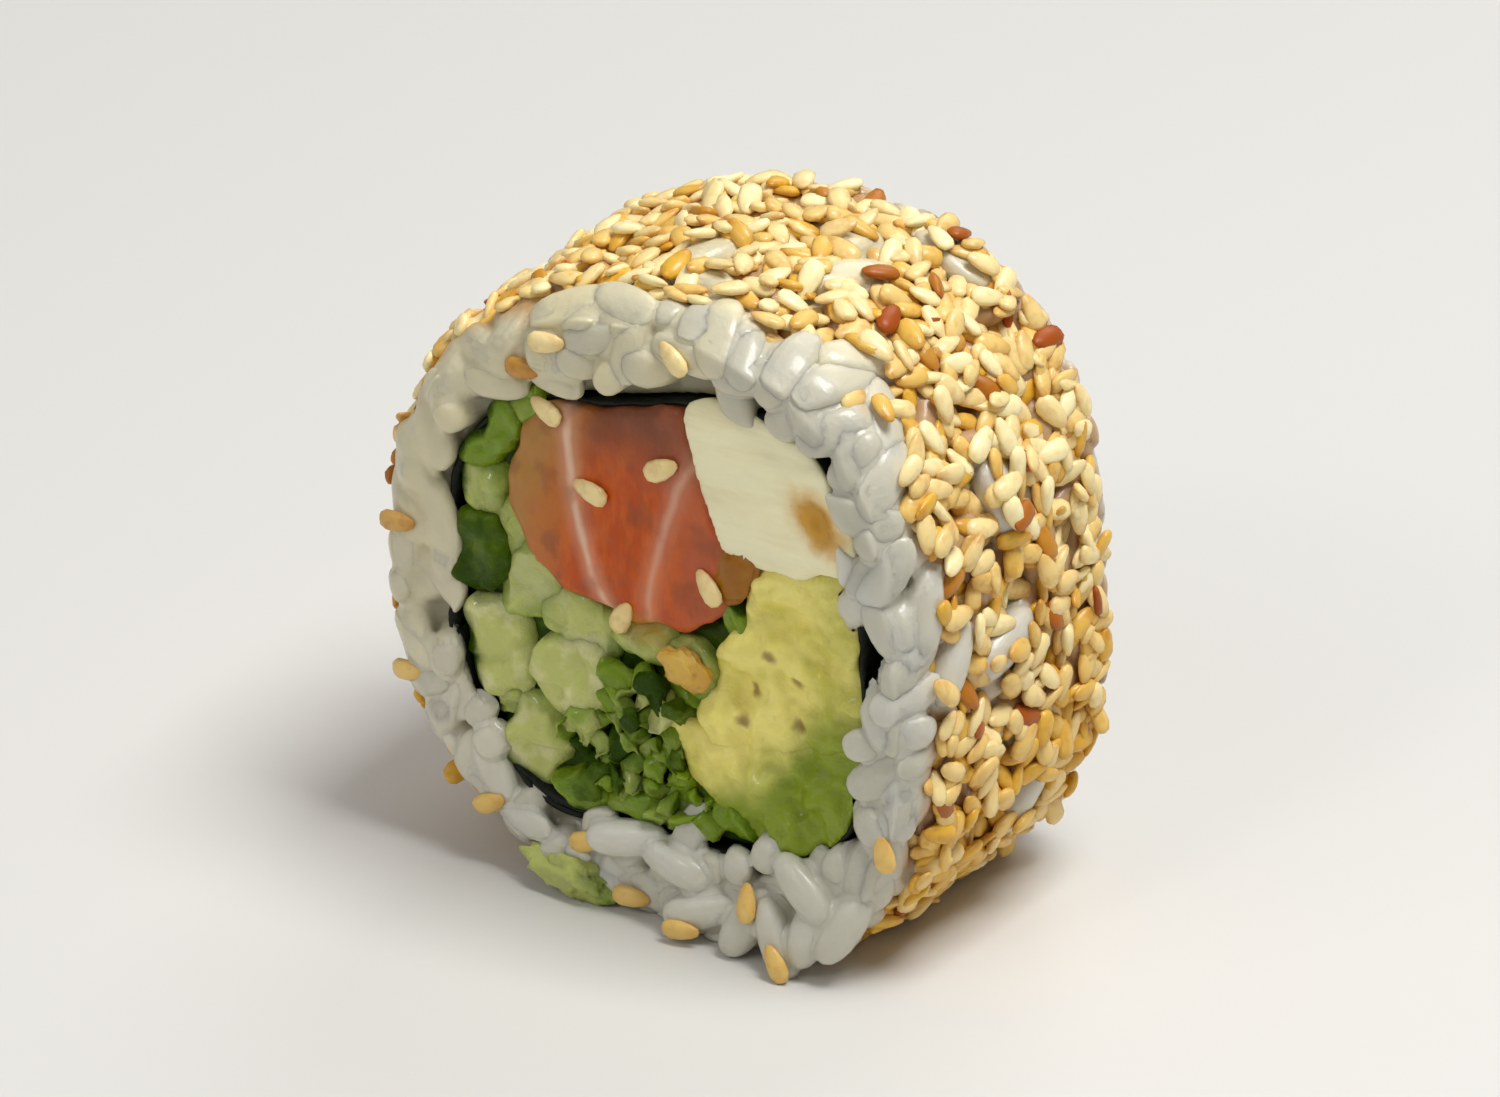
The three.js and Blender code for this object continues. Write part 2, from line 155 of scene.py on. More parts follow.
class Bench:
    """One Principled material and the nodes that are laid out for it."""

    def __init__(self, name: str, fixed: dict[str, object]) -> None:
        """Starts a material.

        Args:
            name: The material's name.
            fixed: Values of the shader's sockets that are the same all over the surface.
        """
        self.material = bpy.data.materials.new(name)
        self.material.use_nodes = True
        self.tree = self.material.node_tree
        self.shader = self.tree.nodes["Principled BSDF"]
        for socket, value in fixed.items():
            self.shader.inputs[socket].default_value = value

    def node(
        self,
        kind: str,
        settings: dict[str, object] | None = None,
        inputs: dict[str | int, object] | None = None,
        output: str | int = 0,
    ) -> Signal:
        """Adds any node.

        Args:
            kind: The node's type.
            settings: Its own properties, set first.
            inputs: Values or signals of its sockets.
            output: The output that the signal wraps.

        Returns:
            The signal that comes out of the node.
        """
        made = self.tree.nodes.new(kind)
        for key, value in (settings or {}).items():
            setattr(made, key, value)
        for key, value in (inputs or {}).items():
            self.plug(made.inputs[key], value)
        return Signal(self, made.outputs[output])

    def plug(self, socket: bpy.types.NodeSocket, value: object) -> None:
        """Links a signal to a socket, or sets the socket to a plain value."""
        if isinstance(value, Signal):
            self.tree.links.new(value.socket, socket)
        else:
            socket.default_value = value

    def maths(self, operation: str, first: Signal | float, second: Signal | float = 0.0) -> Signal:
        """Adds one Math node on one or two values."""
        return self.node("ShaderNodeMath", {"operation": operation}, {0: first, 1: second})

    def place(self, shape: RollShape) -> Signal:
        """Gives the place on the piece in the roll's own space, in millimetres."""
        inputs = {
            "Vector": self.node("ShaderNodeTexCoord", output="Object"),
            "Location": (0, 0, -shape.axis_height),
            "Scale": (1 / MM,) * 3,
        }
        return self.node("ShaderNodeMapping", {"vector_type": "POINT"}, inputs)

    def parts(self, place: Signal) -> tuple[Signal, Signal, Signal]:
        """Splits a vector, or a colour, into its three numbers."""
        x = self.node("ShaderNodeSeparateXYZ", inputs={0: place})
        outputs = x.socket.node.outputs
        return x, Signal(self, outputs[1]), Signal(self, outputs[2])

    def stretched(self, place: Signal, scale: tuple[float, float, float]) -> Signal:
        """Scales a place, so that noise on it is drawn out where the scale is small."""
        return self.node("ShaderNodeMapping", inputs={"Vector": place, "Scale": scale})

    def cloud(
        self, place: Signal, size: float, detail: float = 2.0, roughness: float = 0.5
    ) -> Signal:
        """Gives soft noise from 0 to 1 whose lumps are about a size in millimetres."""
        inputs = {"Vector": place, "Scale": 1 / size, "Detail": detail, "Roughness": roughness}
        return self.node("ShaderNodeTexNoise", {"noise_dimensions": "3D"}, inputs)

    def step(self, value: Signal, low: float, high: float) -> Signal:
        """Rises smoothly from 0 at the low value to 1 at the high, or falls if low is higher."""
        settings = {"interpolation_type": "SMOOTHSTEP"}
        return self.node("ShaderNodeMapRange", settings, {0: value, 1: low, 2: high})

    def blend(self, share: Signal, first: object, second: object) -> Signal:
        """Mixes two colours by a share from 0 to 1."""
        return self.node("ShaderNodeMix", {"data_type": "RGBA"}, {0: share, 6: first, 7: second}, 2)

    def trait(self, name: str) -> Signal:
        """Reads a number that is stored on the mesh."""
        return self.node("ShaderNodeAttribute", {"attribute_name": name}, output="Fac")

    def traits(self, name: str) -> tuple[Signal, Signal, Signal]:
        """Reads three numbers that are stored on the mesh as one colour."""
        colour = self.node("ShaderNodeAttribute", {"attribute_name": name}, output="Color")
        return self.parts(colour)

    def relief(self, height: Signal, distance: float) -> None:
        """Feeds a height from 0 to 1 to the shader as bumps of a distance in millimetres."""
        inputs = {"Height": height, "Distance": distance * MM, "Strength": 1.0}
        self.feed("Normal", self.node("ShaderNodeBump", inputs=inputs))

    def feed(self, socket: str, signal: Signal) -> None:
        """Links a signal to one of the shader's sockets."""
        self.tree.links.new(signal.socket, self.shader.inputs[socket])


# ------------------------------------------------------------------ the roll's shape
@dataclass(frozen=True)
class Wave:
    """A wave in an outline: how many lumps, how high they are in mm, where one peaks in degrees."""

    count: int
    height: float
    peak: float


@dataclass(frozen=True)
class Outline:
    """A round outline with a few waves in it."""

    mean: float
    waves: tuple[Wave, ...]

    def radius(self, angle: float | np.ndarray) -> float | np.ndarray:
        """Gives the distance from the axis at an angle in radians."""
        turned = ((wave, angle - math.radians(wave.peak)) for wave in self.waves)
        return self.mean + sum(wave.height * np.cos(wave.count * turn) for wave, turn in turned)


@dataclass(frozen=True)
class Bump:
    """A local rise round the roll: its angle and half width in degrees, and its height in mm."""

    angle: float
    width: float
    height: float

    def at(self, angle: float | np.ndarray) -> float | np.ndarray:
        """Gives how high the bump is at an angle in radians."""
        off = np.degrees(np.angle(np.exp(1j * (angle - math.radians(self.angle)))))
        return self.height * np.exp(-((off / self.width) ** 2))


@dataclass(frozen=True)
class RollShape:
    """The sizes that the whole slice shares, in millimetres."""

    axis_height: float = 22.2
    half_length: float = 12.0
    rice: Outline = Outline(
        22.4, (Wave(1, 0.4, -30), Wave(2, 0.75, 98), Wave(3, 0.7, -56), Wave(4, 0.65, -46))
    )
    filling: Outline = Outline(
        17.0, (Wave(1, 0.9, -5), Wave(2, 0.4, 28), Wave(3, 0.55, -57), Wave(4, 1.25, -40))
    )
    nori_thickness: float = 0.5
    seam: float = 0.1
    edge_round: float = 2.0
    edge_steepness: float = 0.96
    bulge: float = 0.4
    hollow_reach: float = 3.5
    front_hollows: tuple[Bump, ...] = (
        Bump(-115, 8, 1.3),
        Bump(196, 5, 0.6),
        Bump(158, 7, 0.4),
        Bump(4, 6, 2.1),
        Bump(50, 16, 0.7),
        Bump(117, 8, 0.4),
        Bump(-37, 4, 0.7),
    )
    back_hollows: tuple[Bump, ...] = (Bump(35, 7, 1.2), Bump(141, 6, 0.8), Bump(-70, 8, 1.0))
    face_smear: float = 0.4
    broad_tips: float = 0.25
    fine_tips: float = 0.15
    front_smears: tuple[Bump, ...] = (
        Bump(-72, 17, 3.0),
        Bump(-50, 10, 1.4),
        Bump(-16, 10, 1.3),
        Bump(22, 9, 1.0),
        Bump(86, 22, -0.2),
        Bump(138, 20, -0.8),
        Bump(178, 14, 0.7),
        Bump(218, 14, 1.7),
        Bump(-115, 8, -0.9),
        Bump(4, 6, -1.6),
        Bump(196, 4, -0.6),
    )

    def inside(self, angle: np.ndarray, along: np.ndarray) -> np.ndarray:
        """Gives the radius of the rice ring's inner side, with its hollows near the cut faces."""
        radius = self.filling.radius(angle) + self.nori_thickness + self.seam
        for side, hollows in ((-1, self.front_hollows), (1, self.back_hollows)):
            near = np.clip(1 - (self.half_length - side * along) / self.hollow_reach, 0, 1)
            radius = radius + near * sum(hollow.at(angle) for hollow in hollows)
        return radius

    def smear(self, angle: float | np.ndarray, side: int) -> float | np.ndarray:
        """Gives how far the rice of a cut face was dragged inwards over the nori's edge."""
        bumps = self.front_smears if side < 0 else self.back_hollows
        ragged = self.broad_tips * np.sin(angle * 9 + side) + self.fine_tips * np.sin(angle * 23)
        return np.maximum(self.face_smear + ragged + sum(bump.at(angle) for bump in bumps), 0)

    def outside(self, angle: float | np.ndarray, along: float | np.ndarray) -> float | np.ndarray:
        """Gives the radius of the rice ring's outer side, rounded off at the cut faces."""
        from_face = np.clip(self.half_length - np.abs(along), 0, self.edge_round)
        edge = 1 - from_face / self.edge_round
        rounding = self.edge_round * (1 - np.sqrt(1 - self.edge_steepness * edge**2))
        bulging = self.bulge * np.cos(along / self.half_length * math.pi / 2)
        return self.rice.radius(angle) + bulging - rounding

    def point(self, angle: float, along: float, lift: float = 0.0) -> Vector:
        """Gives a point on the rice's outer side, lifted off it by a distance."""
        radius = self.outside(angle, along) + lift
        return Vector((radius * math.cos(angle), along, radius * math.sin(angle)))

    def points(self, angle: np.ndarray, along: np.ndarray) -> np.ndarray:
        """Gives many points on the rice's outer side, one row each."""
        radius = self.outside(angle, along)
        return np.column_stack([radius * np.cos(angle), along, radius * np.sin(angle)])

    def normal(self, angle: float, along: float) -> Vector:
        """Gives the outward direction at a point on the rice's outer side."""
        step = 0.02
        round_way = self.point(angle + step, along) - self.point(angle - step, along)
        along_way = self.point(angle, along + step) - self.point(angle, along - step)
        return along_way.cross(round_way).normalized()

    def seat(self, mesh: bpy.types.Mesh) -> None:
        """Takes a mesh from the roll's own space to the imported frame."""
        mesh.transform(Matrix.Translation((0, 0, self.axis_height * MM)) @ Matrix.Scale(MM, 4))

    def unseat(self, mesh: bpy.types.Mesh) -> None:
        """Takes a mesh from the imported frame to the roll's own space."""
        mesh.transform(Matrix.Scale(1 / MM, 4) @ Matrix.Translation((0, 0, -self.axis_height * MM)))


# ------------------------------------------------------------------ mesh helpers
def meshed(name: str, shaped: bmesh.types.BMesh) -> bpy.types.Mesh:
    """Turns a finished bmesh, which is used up, into a mesh."""
    mesh = bpy.data.meshes.new(name)
    shaped.to_mesh(mesh)
    shaped.free()
    return mesh


def lie(
    point: Vector,
    normal: Vector,
    turn: float,
    tip: float = 0.0,
    size: float = 1.0,
    roll: float = 0.0,
) -> Matrix:
    """Lays a small template on a surface, its thin way along the normal.

    Args:
        point: Where its middle goes.
        normal: The surface's outward direction.
        turn: How far it is turned on the surface, in radians.
        tip: How far its far end is tipped down, in radians.
        size: Its scale.
        roll: How far it is rolled about its own length, in radians.

    Returns:
        The matrix that places the template.
    """
    turned = Quaternion((0, 0, 1), turn) @ Quaternion((0, 1, 0), tip) @ Quaternion((1, 0, 0), roll)
    return Matrix.LocRotScale(point, normal.to_track_quat("Z", "Y") @ turned, Vector((size,) * 3))


def pressed(beyond: np.ndarray, give: float = 0.25, soft: float = 0.45) -> np.ndarray:
    """Presses back what reaches beyond a surface, softly, as food gives way.

    Args:
        beyond: How far each point reaches beyond the surface, negative where it doesn't.
        give: The share that is kept of what reaches far beyond it.
        soft: Over how many millimetres the pressing sets in.

    Returns:
        How far each point may still reach beyond it.
    """
    over = np.maximum(beyond, 0)
    return np.minimum(beyond, 0) + give * over + (1 - give) * soft * (1 - np.exp(-over / soft))


def settle(shaped: bmesh.types.BMesh) -> None:
    """Orders vertices and faces along a slant, as welding leaves them in a chance order."""
    slant = Vector((1, math.sqrt(2), math.sqrt(3)))
    shaped.verts.sort(key=lambda vertex: vertex.co.dot(slant))
    shaped.faces.sort(key=lambda face: face.calc_center_median().dot(slant))


def grain_template(
    name: str,
    size: tuple[float, float, float],
    taper: float,
    detail: tuple[int, int],
    blunt: float = 0.85,
) -> bpy.types.Mesh:
    """Makes a grain with its long axis along X and its thin axis along Z.

    Args:
        name: The mesh's name.
        size: Its length, width and thickness in millimetres.
        taper: How much narrower its far end is than its near end.
        detail: The number of its sides and of its rings.
        blunt: 1 for an egg's ends, less for blunter ends and squarer sides.

    Returns:
        The template mesh.
    """
    length, width, thickness = size
    grain = bmesh.new()
    bmesh.ops.create_uvsphere(grain, u_segments=detail[0], v_segments=detail[1], radius=1.0)
    for vertex in grain.verts:
        side, up, far = (math.copysign(abs(share) ** blunt, share) / 2 for share in vertex.co)
        narrowing = 1 - taper * (far + 0.5) ** 1.4
        vertex.co = (length * far, width * side * narrowing, thickness * up * narrowing)
    bmesh.ops.recalc_face_normals(grain, faces=grain.faces)
    settle(grain)
    return meshed(name, grain)


class Swarm:
    """Copies of a small template, gathered into one bmesh."""

    TRAIT = "kernel"

    def __init__(self, template: bpy.types.Mesh) -> None:
        """Starts an empty swarm of copies of a template."""
        self.template = template
        self.template.color_attributes.new(self.TRAIT, "FLOAT_COLOR", "POINT")
        self.points = np.array([vertex.co for vertex in template.vertices])
        reach = np.abs(self.points[:, 0]).max()
        self.far = self.points[:, 0] / reach / 2 + 0.5
        self.gathered = bmesh.new()
        self.count = 0

    def add(
        self, place: Matrix, tone: float = 0.0, mark: float = 0.0, limit: Limit | None = None
    ) -> None:
        """Adds one copy.

        Args:
            place: The matrix that places it.
            tone: The first number of its trait, from 0 to 1.
            mark: The third number of its trait, from 0 to 1. The second runs from end to end.
            limit: Moves the copy's points to where they may be.
        """
        points = self.points @ np.array(place.to_3x3()).T + np.array(place.translation)
        if limit:
            points = limit(points)
        copy = self.template.copy()
        copy.vertices.foreach_set("co", points.ravel())
        give_traits(copy, tone, self.far, mark)
        self.gathered.from_mesh(copy)
        bpy.data.meshes.remove(copy)
        self.count += 1

    def mesh(self, name: str) -> bpy.types.Mesh:
        """Gives the gathered copies as one mesh."""
        return meshed(name, self.gathered)


def give_traits(
    mesh: bpy.types.Mesh,
    first: float | np.ndarray,
    second: float | np.ndarray,
    third: float | np.ndarray,
) -> None:
    """Stores three numbers on each point of a mesh as one colour, for ``Bench.traits``.

    Args:
        mesh: The mesh.
        first: The first number, one for all points or one for each.
        second: The second number, likewise.
        third: The third number, likewise.
    """
    layers = mesh.color_attributes
    layer = layers.get(Swarm.TRAIT) or layers.new(Swarm.TRAIT, "FLOAT_COLOR", "POINT")
    trait = np.ones((len(mesh.vertices), 4))
    for column, numbers in enumerate((first, second, third)):
        trait[:, column] = numbers
    layer.data.foreach_set("color", trait.ravel())


class Darts:
    """Keeps points that are thrown at random, at least a distance apart."""

    ROOM = 4096

    def __init__(self) -> None:
        """Starts with no points."""
        self.kept = np.empty((self.ROOM, 3))
        self.count = 0

    def lands(self, point: Vector, apart: float) -> bool:
        """Keeps a point and says so, unless a kept one is closer than the distance."""
        kept = self.kept[: self.count]
        if self.count and ((kept - np.array(point)) ** 2).sum(1).min() < apart**2:
            return False
        self.kept[self.count] = point
        self.count += 1
        return True


def linked(name: str, data: bpy.types.ID) -> bpy.types.Object:
    """Puts a mesh, a light or a camera into the scene as an object at the origin."""
    thing = bpy.data.objects.new(name, data)
    bpy.context.scene.collection.objects.link(thing)
    return thing


def refined(mesh: bpy.types.Mesh, voxel: float, smoothing: int) -> bpy.types.Mesh:
    """Fuses a mesh's pieces into one even skin.

    Args:
        mesh: Closed pieces, which may overlap. It is used up.
        voxel: The skin's spacing, in the mesh's own units.
        smoothing: How many times the skin is smoothed.

    Returns:
        The new mesh.
    """
    thing = linked("skin", mesh)
    remesh = thing.modifiers.new("fuse", "REMESH")
    remesh.mode = "VOXEL"
    remesh.voxel_size = voxel
    smooth = thing.modifiers.new("soften", "SMOOTH")
    smooth.factor = 0.5
    smooth.iterations = smoothing
    bpy.context.view_layer.update()
    evaluated = thing.evaluated_get(bpy.context.evaluated_depsgraph_get())
    skin = bpy.data.meshes.new_from_object(evaluated)
    bpy.data.objects.remove(thing)
    bpy.data.meshes.remove(mesh)
    return skin


def coordinates(mesh: bpy.types.Mesh) -> np.ndarray:
    """Gives the places of a mesh's vertices, one row each."""
    flat = np.empty(len(mesh.vertices) * 3)
    mesh.vertices.foreach_get("co", flat)
    return flat.reshape(-1, 3)


class Skins:
    """Surfaces that rays can be cast at together."""

    FRONT_START = -20.0

    def __init__(self, meshes: list[bpy.types.Mesh]) -> None:
        """Takes the meshes as they are now."""
        self.trees = [
            BVHTree.FromPolygons([v.co for v in mesh.vertices], [p.vertices for p in mesh.polygons])
            for mesh in meshes
        ]

    def hit(
        self, start: Vector, way: Vector, reach: float = 14.0
    ) -> tuple[Vector | None, Vector | None]:
        """Finds what a ray meets first.

        Args:
            start: Where the ray starts.
            way: Its direction.
            reach: How far it goes.

        Returns:
            The point that it meets and the way the surface faces there, or nothing.
        """
        found = [hit for hit in (tree.ray_cast(start, way, reach) for tree in self.trees) if hit[0]]
        if not found:
            return None, None
        nearest = min(found, key=lambda hit: hit[3])
        return nearest[0], nearest[1]

    def front(self, across: float, up: float) -> tuple[Vector | None, Vector | None]:
        """Finds what shows at the front face, at a place across and up from the axis."""
        return self.hit(Vector((across, self.FRONT_START, up)), Vector((0, 1, 0)))


def finished(
    name: str, mesh: bpy.types.Mesh, shape: RollShape, material: bpy.types.Material
) -> bpy.types.Object:
    """Seats a mesh in the frame, dresses it and puts it into the scene.

    Args:
        name: The piece's name.
        mesh: Its mesh in the roll's own space.
        shape: The roll's shape, which seats it.
        material: Its finish.

    Returns:
        The piece, which rides on the part's only body.
    """
    shape.seat(mesh)
    mesh.shade_smooth()
    mesh.materials.clear()
    mesh.materials.append(material)
    piece = linked(name, mesh)
    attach(piece, BODY)
    LOG.info("%s: %d faces", name, len(mesh.polygons))
    return piece


def unpacked(
    solid: bpy.types.Mesh, name: str, shape: RollShape, end: float, voxel: float, smoothing: int
) -> bpy.types.Mesh:
    """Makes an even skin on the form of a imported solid.

    Args:
        solid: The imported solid's mesh, which stays as it is.
        name: The new mesh's name.
        shape: The roll's shape.
        end: Where the skin ends along the roll, both ways.
        voxel: The skin's spacing.
        smoothing: How many times the skin is smoothed.

    Returns:
        The skin in the roll's own space.
    """
    welded = bmesh.new()
    welded.from_mesh(solid)
    bmesh.ops.remove_doubles(welded, verts=welded.verts, dist=WELD)
    mesh = meshed(name, welded)
    shape.unseat(mesh)
    for vertex in mesh.vertices:
        vertex.co.y = max(-end, min(end, vertex.co.y))
    return refined(mesh, voxel, smoothing)


# ------------------------------------------------------------------ rice
@dataclass(frozen=True)
class Bared:
    """A whole grain that shows among the seeds: angle in degrees, place along, turn in degrees."""

    angle: float
    along: float
    turn: float


@dataclass(frozen=True)
class SeedCover:
    """Where sesame stuck: all over the curved side but for ragged rims, grains and thin patches."""

    shape: RollShape
    rim: float = 0.3
    front_rim: tuple[Bump, ...] = (
        Bump(78, 20, 2.2), Bump(44, 14, 1.4), Bump(8, 20, 1.9), Bump(-70, 25, 0.8)
    )
    rim_unevenness: float = 0.8
    fade: float = 1.1
    patch_from: float = 0.34
    patch_share: float = 0.45
    bare_reach: float = 1.7
    bare_length: float = 1.7
    bare_share: float = 0.06
    bared: tuple[Bared, ...] = (
        Bared(93, -2.8, -34),
        Bared(88, -6.4, 34),
        Bared(81, -9.6, 40),
        Bared(77, -11.2, 95),
        Bared(58, -6.3, -29),
        Bared(57, -9.2, -10),
        Bared(64, -10.4, 40),
        Bared(76, 3.0, -20),
        Bared(71, 0.0, -25),
        Bared(64, 8.4, 80),
        Bared(48, -8.2, 60),
        Bared(40, -10.6, 46),
        Bared(26, -0.8, 100),
        Bared(3, -7.5, 60),
        Bared(15, -9.8, 75),
        Bared(0, -1.5, 20),
        Bared(97, -10.6, 10),
        Bared(108, -11.0, 50),
        Bared(-35, 3.0, 70),
        Bared(150, 5.0, 30),
        Bared(190, -3.0, 80),
    )

    def whole_grain(self, grain: Bared) -> Matrix:
        """Gives the matrix that lays a bared grain on the rice's outer side."""
        angle = math.radians(grain.angle)
        point = self.shape.point(angle, grain.along)
        normal = self.shape.normal(angle, grain.along)
        return lie(point, normal, math.radians(grain.turn), 0, 1.1)

    def share(self, angle: np.ndarray, along: np.ndarray) -> np.ndarray:
        """Gives the chance, from 0 to 1, that a seed stuck at angles in radians, places along."""
        spots = self.shape.points(angle, along)
        ragged = np.array([noise.noise(Vector(spot) * 0.35) for spot in spots])
        thin = np.array([noise.noise(Vector(spot) * 0.19) for spot in spots])
        front = (along < 0) * sum(bump.at(angle) for bump in self.front_rim)
        bare = self.rim + self.rim_unevenness * ragged + front
        share = np.clip((self.shape.half_length - np.abs(along) - bare) / self.fade, 0, 1)
        share = share * np.where(thin > self.patch_from, self.patch_share, 1.0)
        for grain in self.bared:
            place = self.whole_grain(grain)
            off = (spots - np.array(place.translation)) @ np.array(place.to_3x3().normalized())
            off[:, 0] = np.maximum(np.abs(off[:, 0]) - self.bare_length, 0)
            share = np.where((off**2).sum(1) < self.bare_reach**2, self.bare_share * share, share)
        return share


@dataclass(frozen=True)
class RiceFinish:
    """Cooked short-grain rice: milky and moist, with painted shade where grains meet and on the
    lower right, a painted warm bounce at the upper left, and a golden tint under the seeds that is
    partly painted shade, partly sauce.
    """

    grain: str = "#dcdacf"
    shade: str = "#c4c0ad"
    crease_shade: str = "#8a8468"
    warm_bounce: str = "#e2d6aa"
    golden: str = "#ae7b35"

    def material(self, shape: RollShape) -> bpy.types.Material:
        """Makes the rice's material."""
        fixed = soft(0.4, (1.0, 0.95, 0.8), 0.8)
        fixed |= {"Coat Weight": 0.35, "Coat Roughness": 0.12}
        bench = Bench("cooked_rice", fixed)
        place = bench.place(shape)
        tone, crease_shade, coated = bench.traits(Swarm.TRAIT)
        x, y, z = bench.parts(place)
        # Painted warm bounce light from the seeds, rising towards the upper left.
        light = bench.blend(bench.step(z - x, -14.0, 24.0), paint(self.grain), paint(self.warm_bounce))
        on_face = bench.step(y, -9.5, -11.0)
        # Painted shade: darker towards the lower right of the ring, and at the upper right of the
        # cut face.
        painted_top_right_shade = 0.65 * on_face * bench.step(x + z, 23.0, 30.0)
        painted_right_shade = 0.5 * bench.step(z - x, -10.0, -32.0) + painted_top_right_shade
        shaded = tone * 0.7 + 0.6 * (bench.cloud(place, 2.4, 3) - 0.35) + painted_right_shade
        mottled = bench.blend(shaded, light, paint(self.shade))
        # Painted shade: darker where the grains meet, the deeper the point lies.
        creased = bench.blend(crease_shade, mottled, paint(self.crease_shade))
        # Golden tint under the seeds, deeper in the creases: partly painted shade and bounce light
        # from the seeds, partly sauce.
        seed_shade_and_sauce = coated * (0.75 + 0.25 * crease_shade)
        bench.feed("Base Color", bench.blend(seed_shade_and_sauce, creased, paint(self.golden)))
        bench.feed("Roughness", 0.32 + 0.25 * bench.cloud(place, 1.1, 3))
        bench.relief(bench.cloud(place, 0.5, 3), 0.06)
        return bench.material


@dataclass(frozen=True)
class Drooping:
    """A grain that hangs in front of the cut face: its middle and its turn in degrees."""

    middle: tuple[float, float, float]
    turn: float


@dataclass
class RiceRing:
    """The thick ring of rice: whole grains pressed into a core and fused, finest at its ends."""

    shape: RollShape
    cover: SeedCover
    finish: RiceFinish = RiceFinish()
    grain: tuple[float, float, float] = (5.9, 2.8, 2.5)
    core_sunk: float = 1.15
    end_depth: float = 4.5
    end_skin: float = 0.28
    side_skin: float = 0.36
    softening: int = 4
    face_apart: float = 2.35
    rim_apart: float = 2.5
    side_apart: float = 2.9
    beneath: float = 0.05
    smeared: Bump = Bump(165, 50, 0.1)
    nori_edge: float = 11.5
    throws: int = 9000
    draw_seed: int = 5
    face_overhang: float = 0.35
    side_overhang: float = 0.25
    # Where the painted crease shade starts below the surface, and over what depth it deepens.
    crease_from: float = 0.5
    crease_over: float = 1.2
    drooping: tuple[Drooping, ...] = (
        Drooping((8.6, -12.9, -19.6), 60),
        Drooping((11.2, -13.3, -19.9), 115),
        Drooping((13.6, -13.0, -18.6), 75),
        Drooping((16.0, -12.7, -18.0), 60),
        Drooping((13.0, -12.8, -15.9), 140),
        Drooping((4.8, -12.7, -19.9), 20),
        Drooping((2.6, -12.5, -17.2), 165),
        Drooping((-1.4, -12.5, -16.4), 10),
    )
    whole: Swarm | None = field(default=None, init=False)
    meshes: list[bpy.types.Mesh] = field(default_factory=list, init=False)

    def core(self, low: float, high: float) -> bpy.types.Mesh:
        """Spins a section round the axis and fits it between the two outlines.

        Args:
            low: The core's lower end along the roll.
            high: Its higher end.

        Returns:
            The core, a closed ring.
        """
        middle = (low + high) / 2
        section = [(0, low), (0, middle), (0, high), (1, high), (1, middle), (1, low)]
        ring = bmesh.new()
        corners = [ring.verts.new((1 + across, along, 0)) for across, along in section]
        sides = [ring.edges.new(pair) for pair in zip(corners, corners[1:] + corners[:1])]
        turn = {"cent": (0, 0, 0), "axis": (0, 1, 0), "angle": 2 * math.pi, "steps": 144}
        bmesh.ops.spin(ring, geom=corners + sides, use_merge=True, **turn)
        for vertex in ring.verts:
            x, along, z = vertex.co
            angle, across = math.atan2(z, x), math.hypot(x, z) - 1
            inner = float(self.shape.inside(angle, along))
            outer = float(self.shape.outside(angle, along)) - self.core_sunk
            radius = inner + (outer - inner) * across
            vertex.co = (radius * math.cos(angle), along, radius * math.sin(angle))
        bmesh.ops.recalc_face_normals(ring, faces=ring.faces)
        return meshed("core", ring)

    def kept_in(self, low: float, high: float, proud: float = 0.4) -> Limit:
        """Gives the limit on a grain's points.

        Args:
            low: The lowest place along the roll.
            high: The highest place along it.
            proud: How far the grain may stand out of the ring's outer side.

        Returns:
            The function that moves points to inside the limit.
        """

        def limit(points: np.ndarray) -> np.ndarray:
            """Presses points between the faces, off the floor, over the nori only at its edge."""
            points[:, 1] = high + pressed(points[:, 1] - high)
            points[:, 1] = low - pressed(low - points[:, 1])
            side = -1 if points[:, 1].mean() < 0 else 1
            angle = np.arctan2(points[:, 2], points[:, 0])
            radius = np.hypot(points[:, 0], points[:, 2])
            inside = self.shape.inside(angle, points[:, 1])
            at_face = side * points[:, 1].mean() > self.nori_edge - 1.5
            reach = inside - self.shape.smear(angle, side) if at_face else inside
            outside = self.shape.outside(angle, points[:, 1]) + proud
            placed = outside + pressed(radius - outside)
            placed = reach - pressed(reach - placed) if at_face else np.maximum(placed, reach)
            over = placed < inside - 0.01
            points[over, 1] = side * np.maximum(side * points[over, 1], self.nori_edge)
            points[:, 0] *= placed / radius
            points[:, 2] = np.maximum(points[:, 2] * placed / radius, -self.shape.axis_height)
            return points

        return limit

    def lay(
        self,
        fused: Swarm,
        place: Matrix,
        cut: float,
        proud: float,
        draw: random.Random,
        shaded: float = 1.0,
    ) -> None:
        """Lays one whole grain, and a copy of it for the fused skin that holds it.

        Args:
            fused: The copies for the fused skin.
            place: The matrix that places the grain.
            cut: How far along the roll it may reach.
            proud: How far it may stand out of the ring's outer side.
            draw: The random source.
            shaded: How dark it may be, from 0 to 1. A low value paints the grain paler, as painted
                light.
        """
        under = self.beneath
        fused.add(place, limit=self.kept_in(under - cut, cut - under, proud - under))
        middle = place.translation
        size = draw.uniform(0.94, 1.05) - float(self.smeared.at(math.atan2(middle.z, middle.x)))
        sized = place @ Matrix.Scale(size, 4)
        self.whole.add(sized, draw.random() * shaded, 0.0, self.kept_in(-cut, cut, proud))

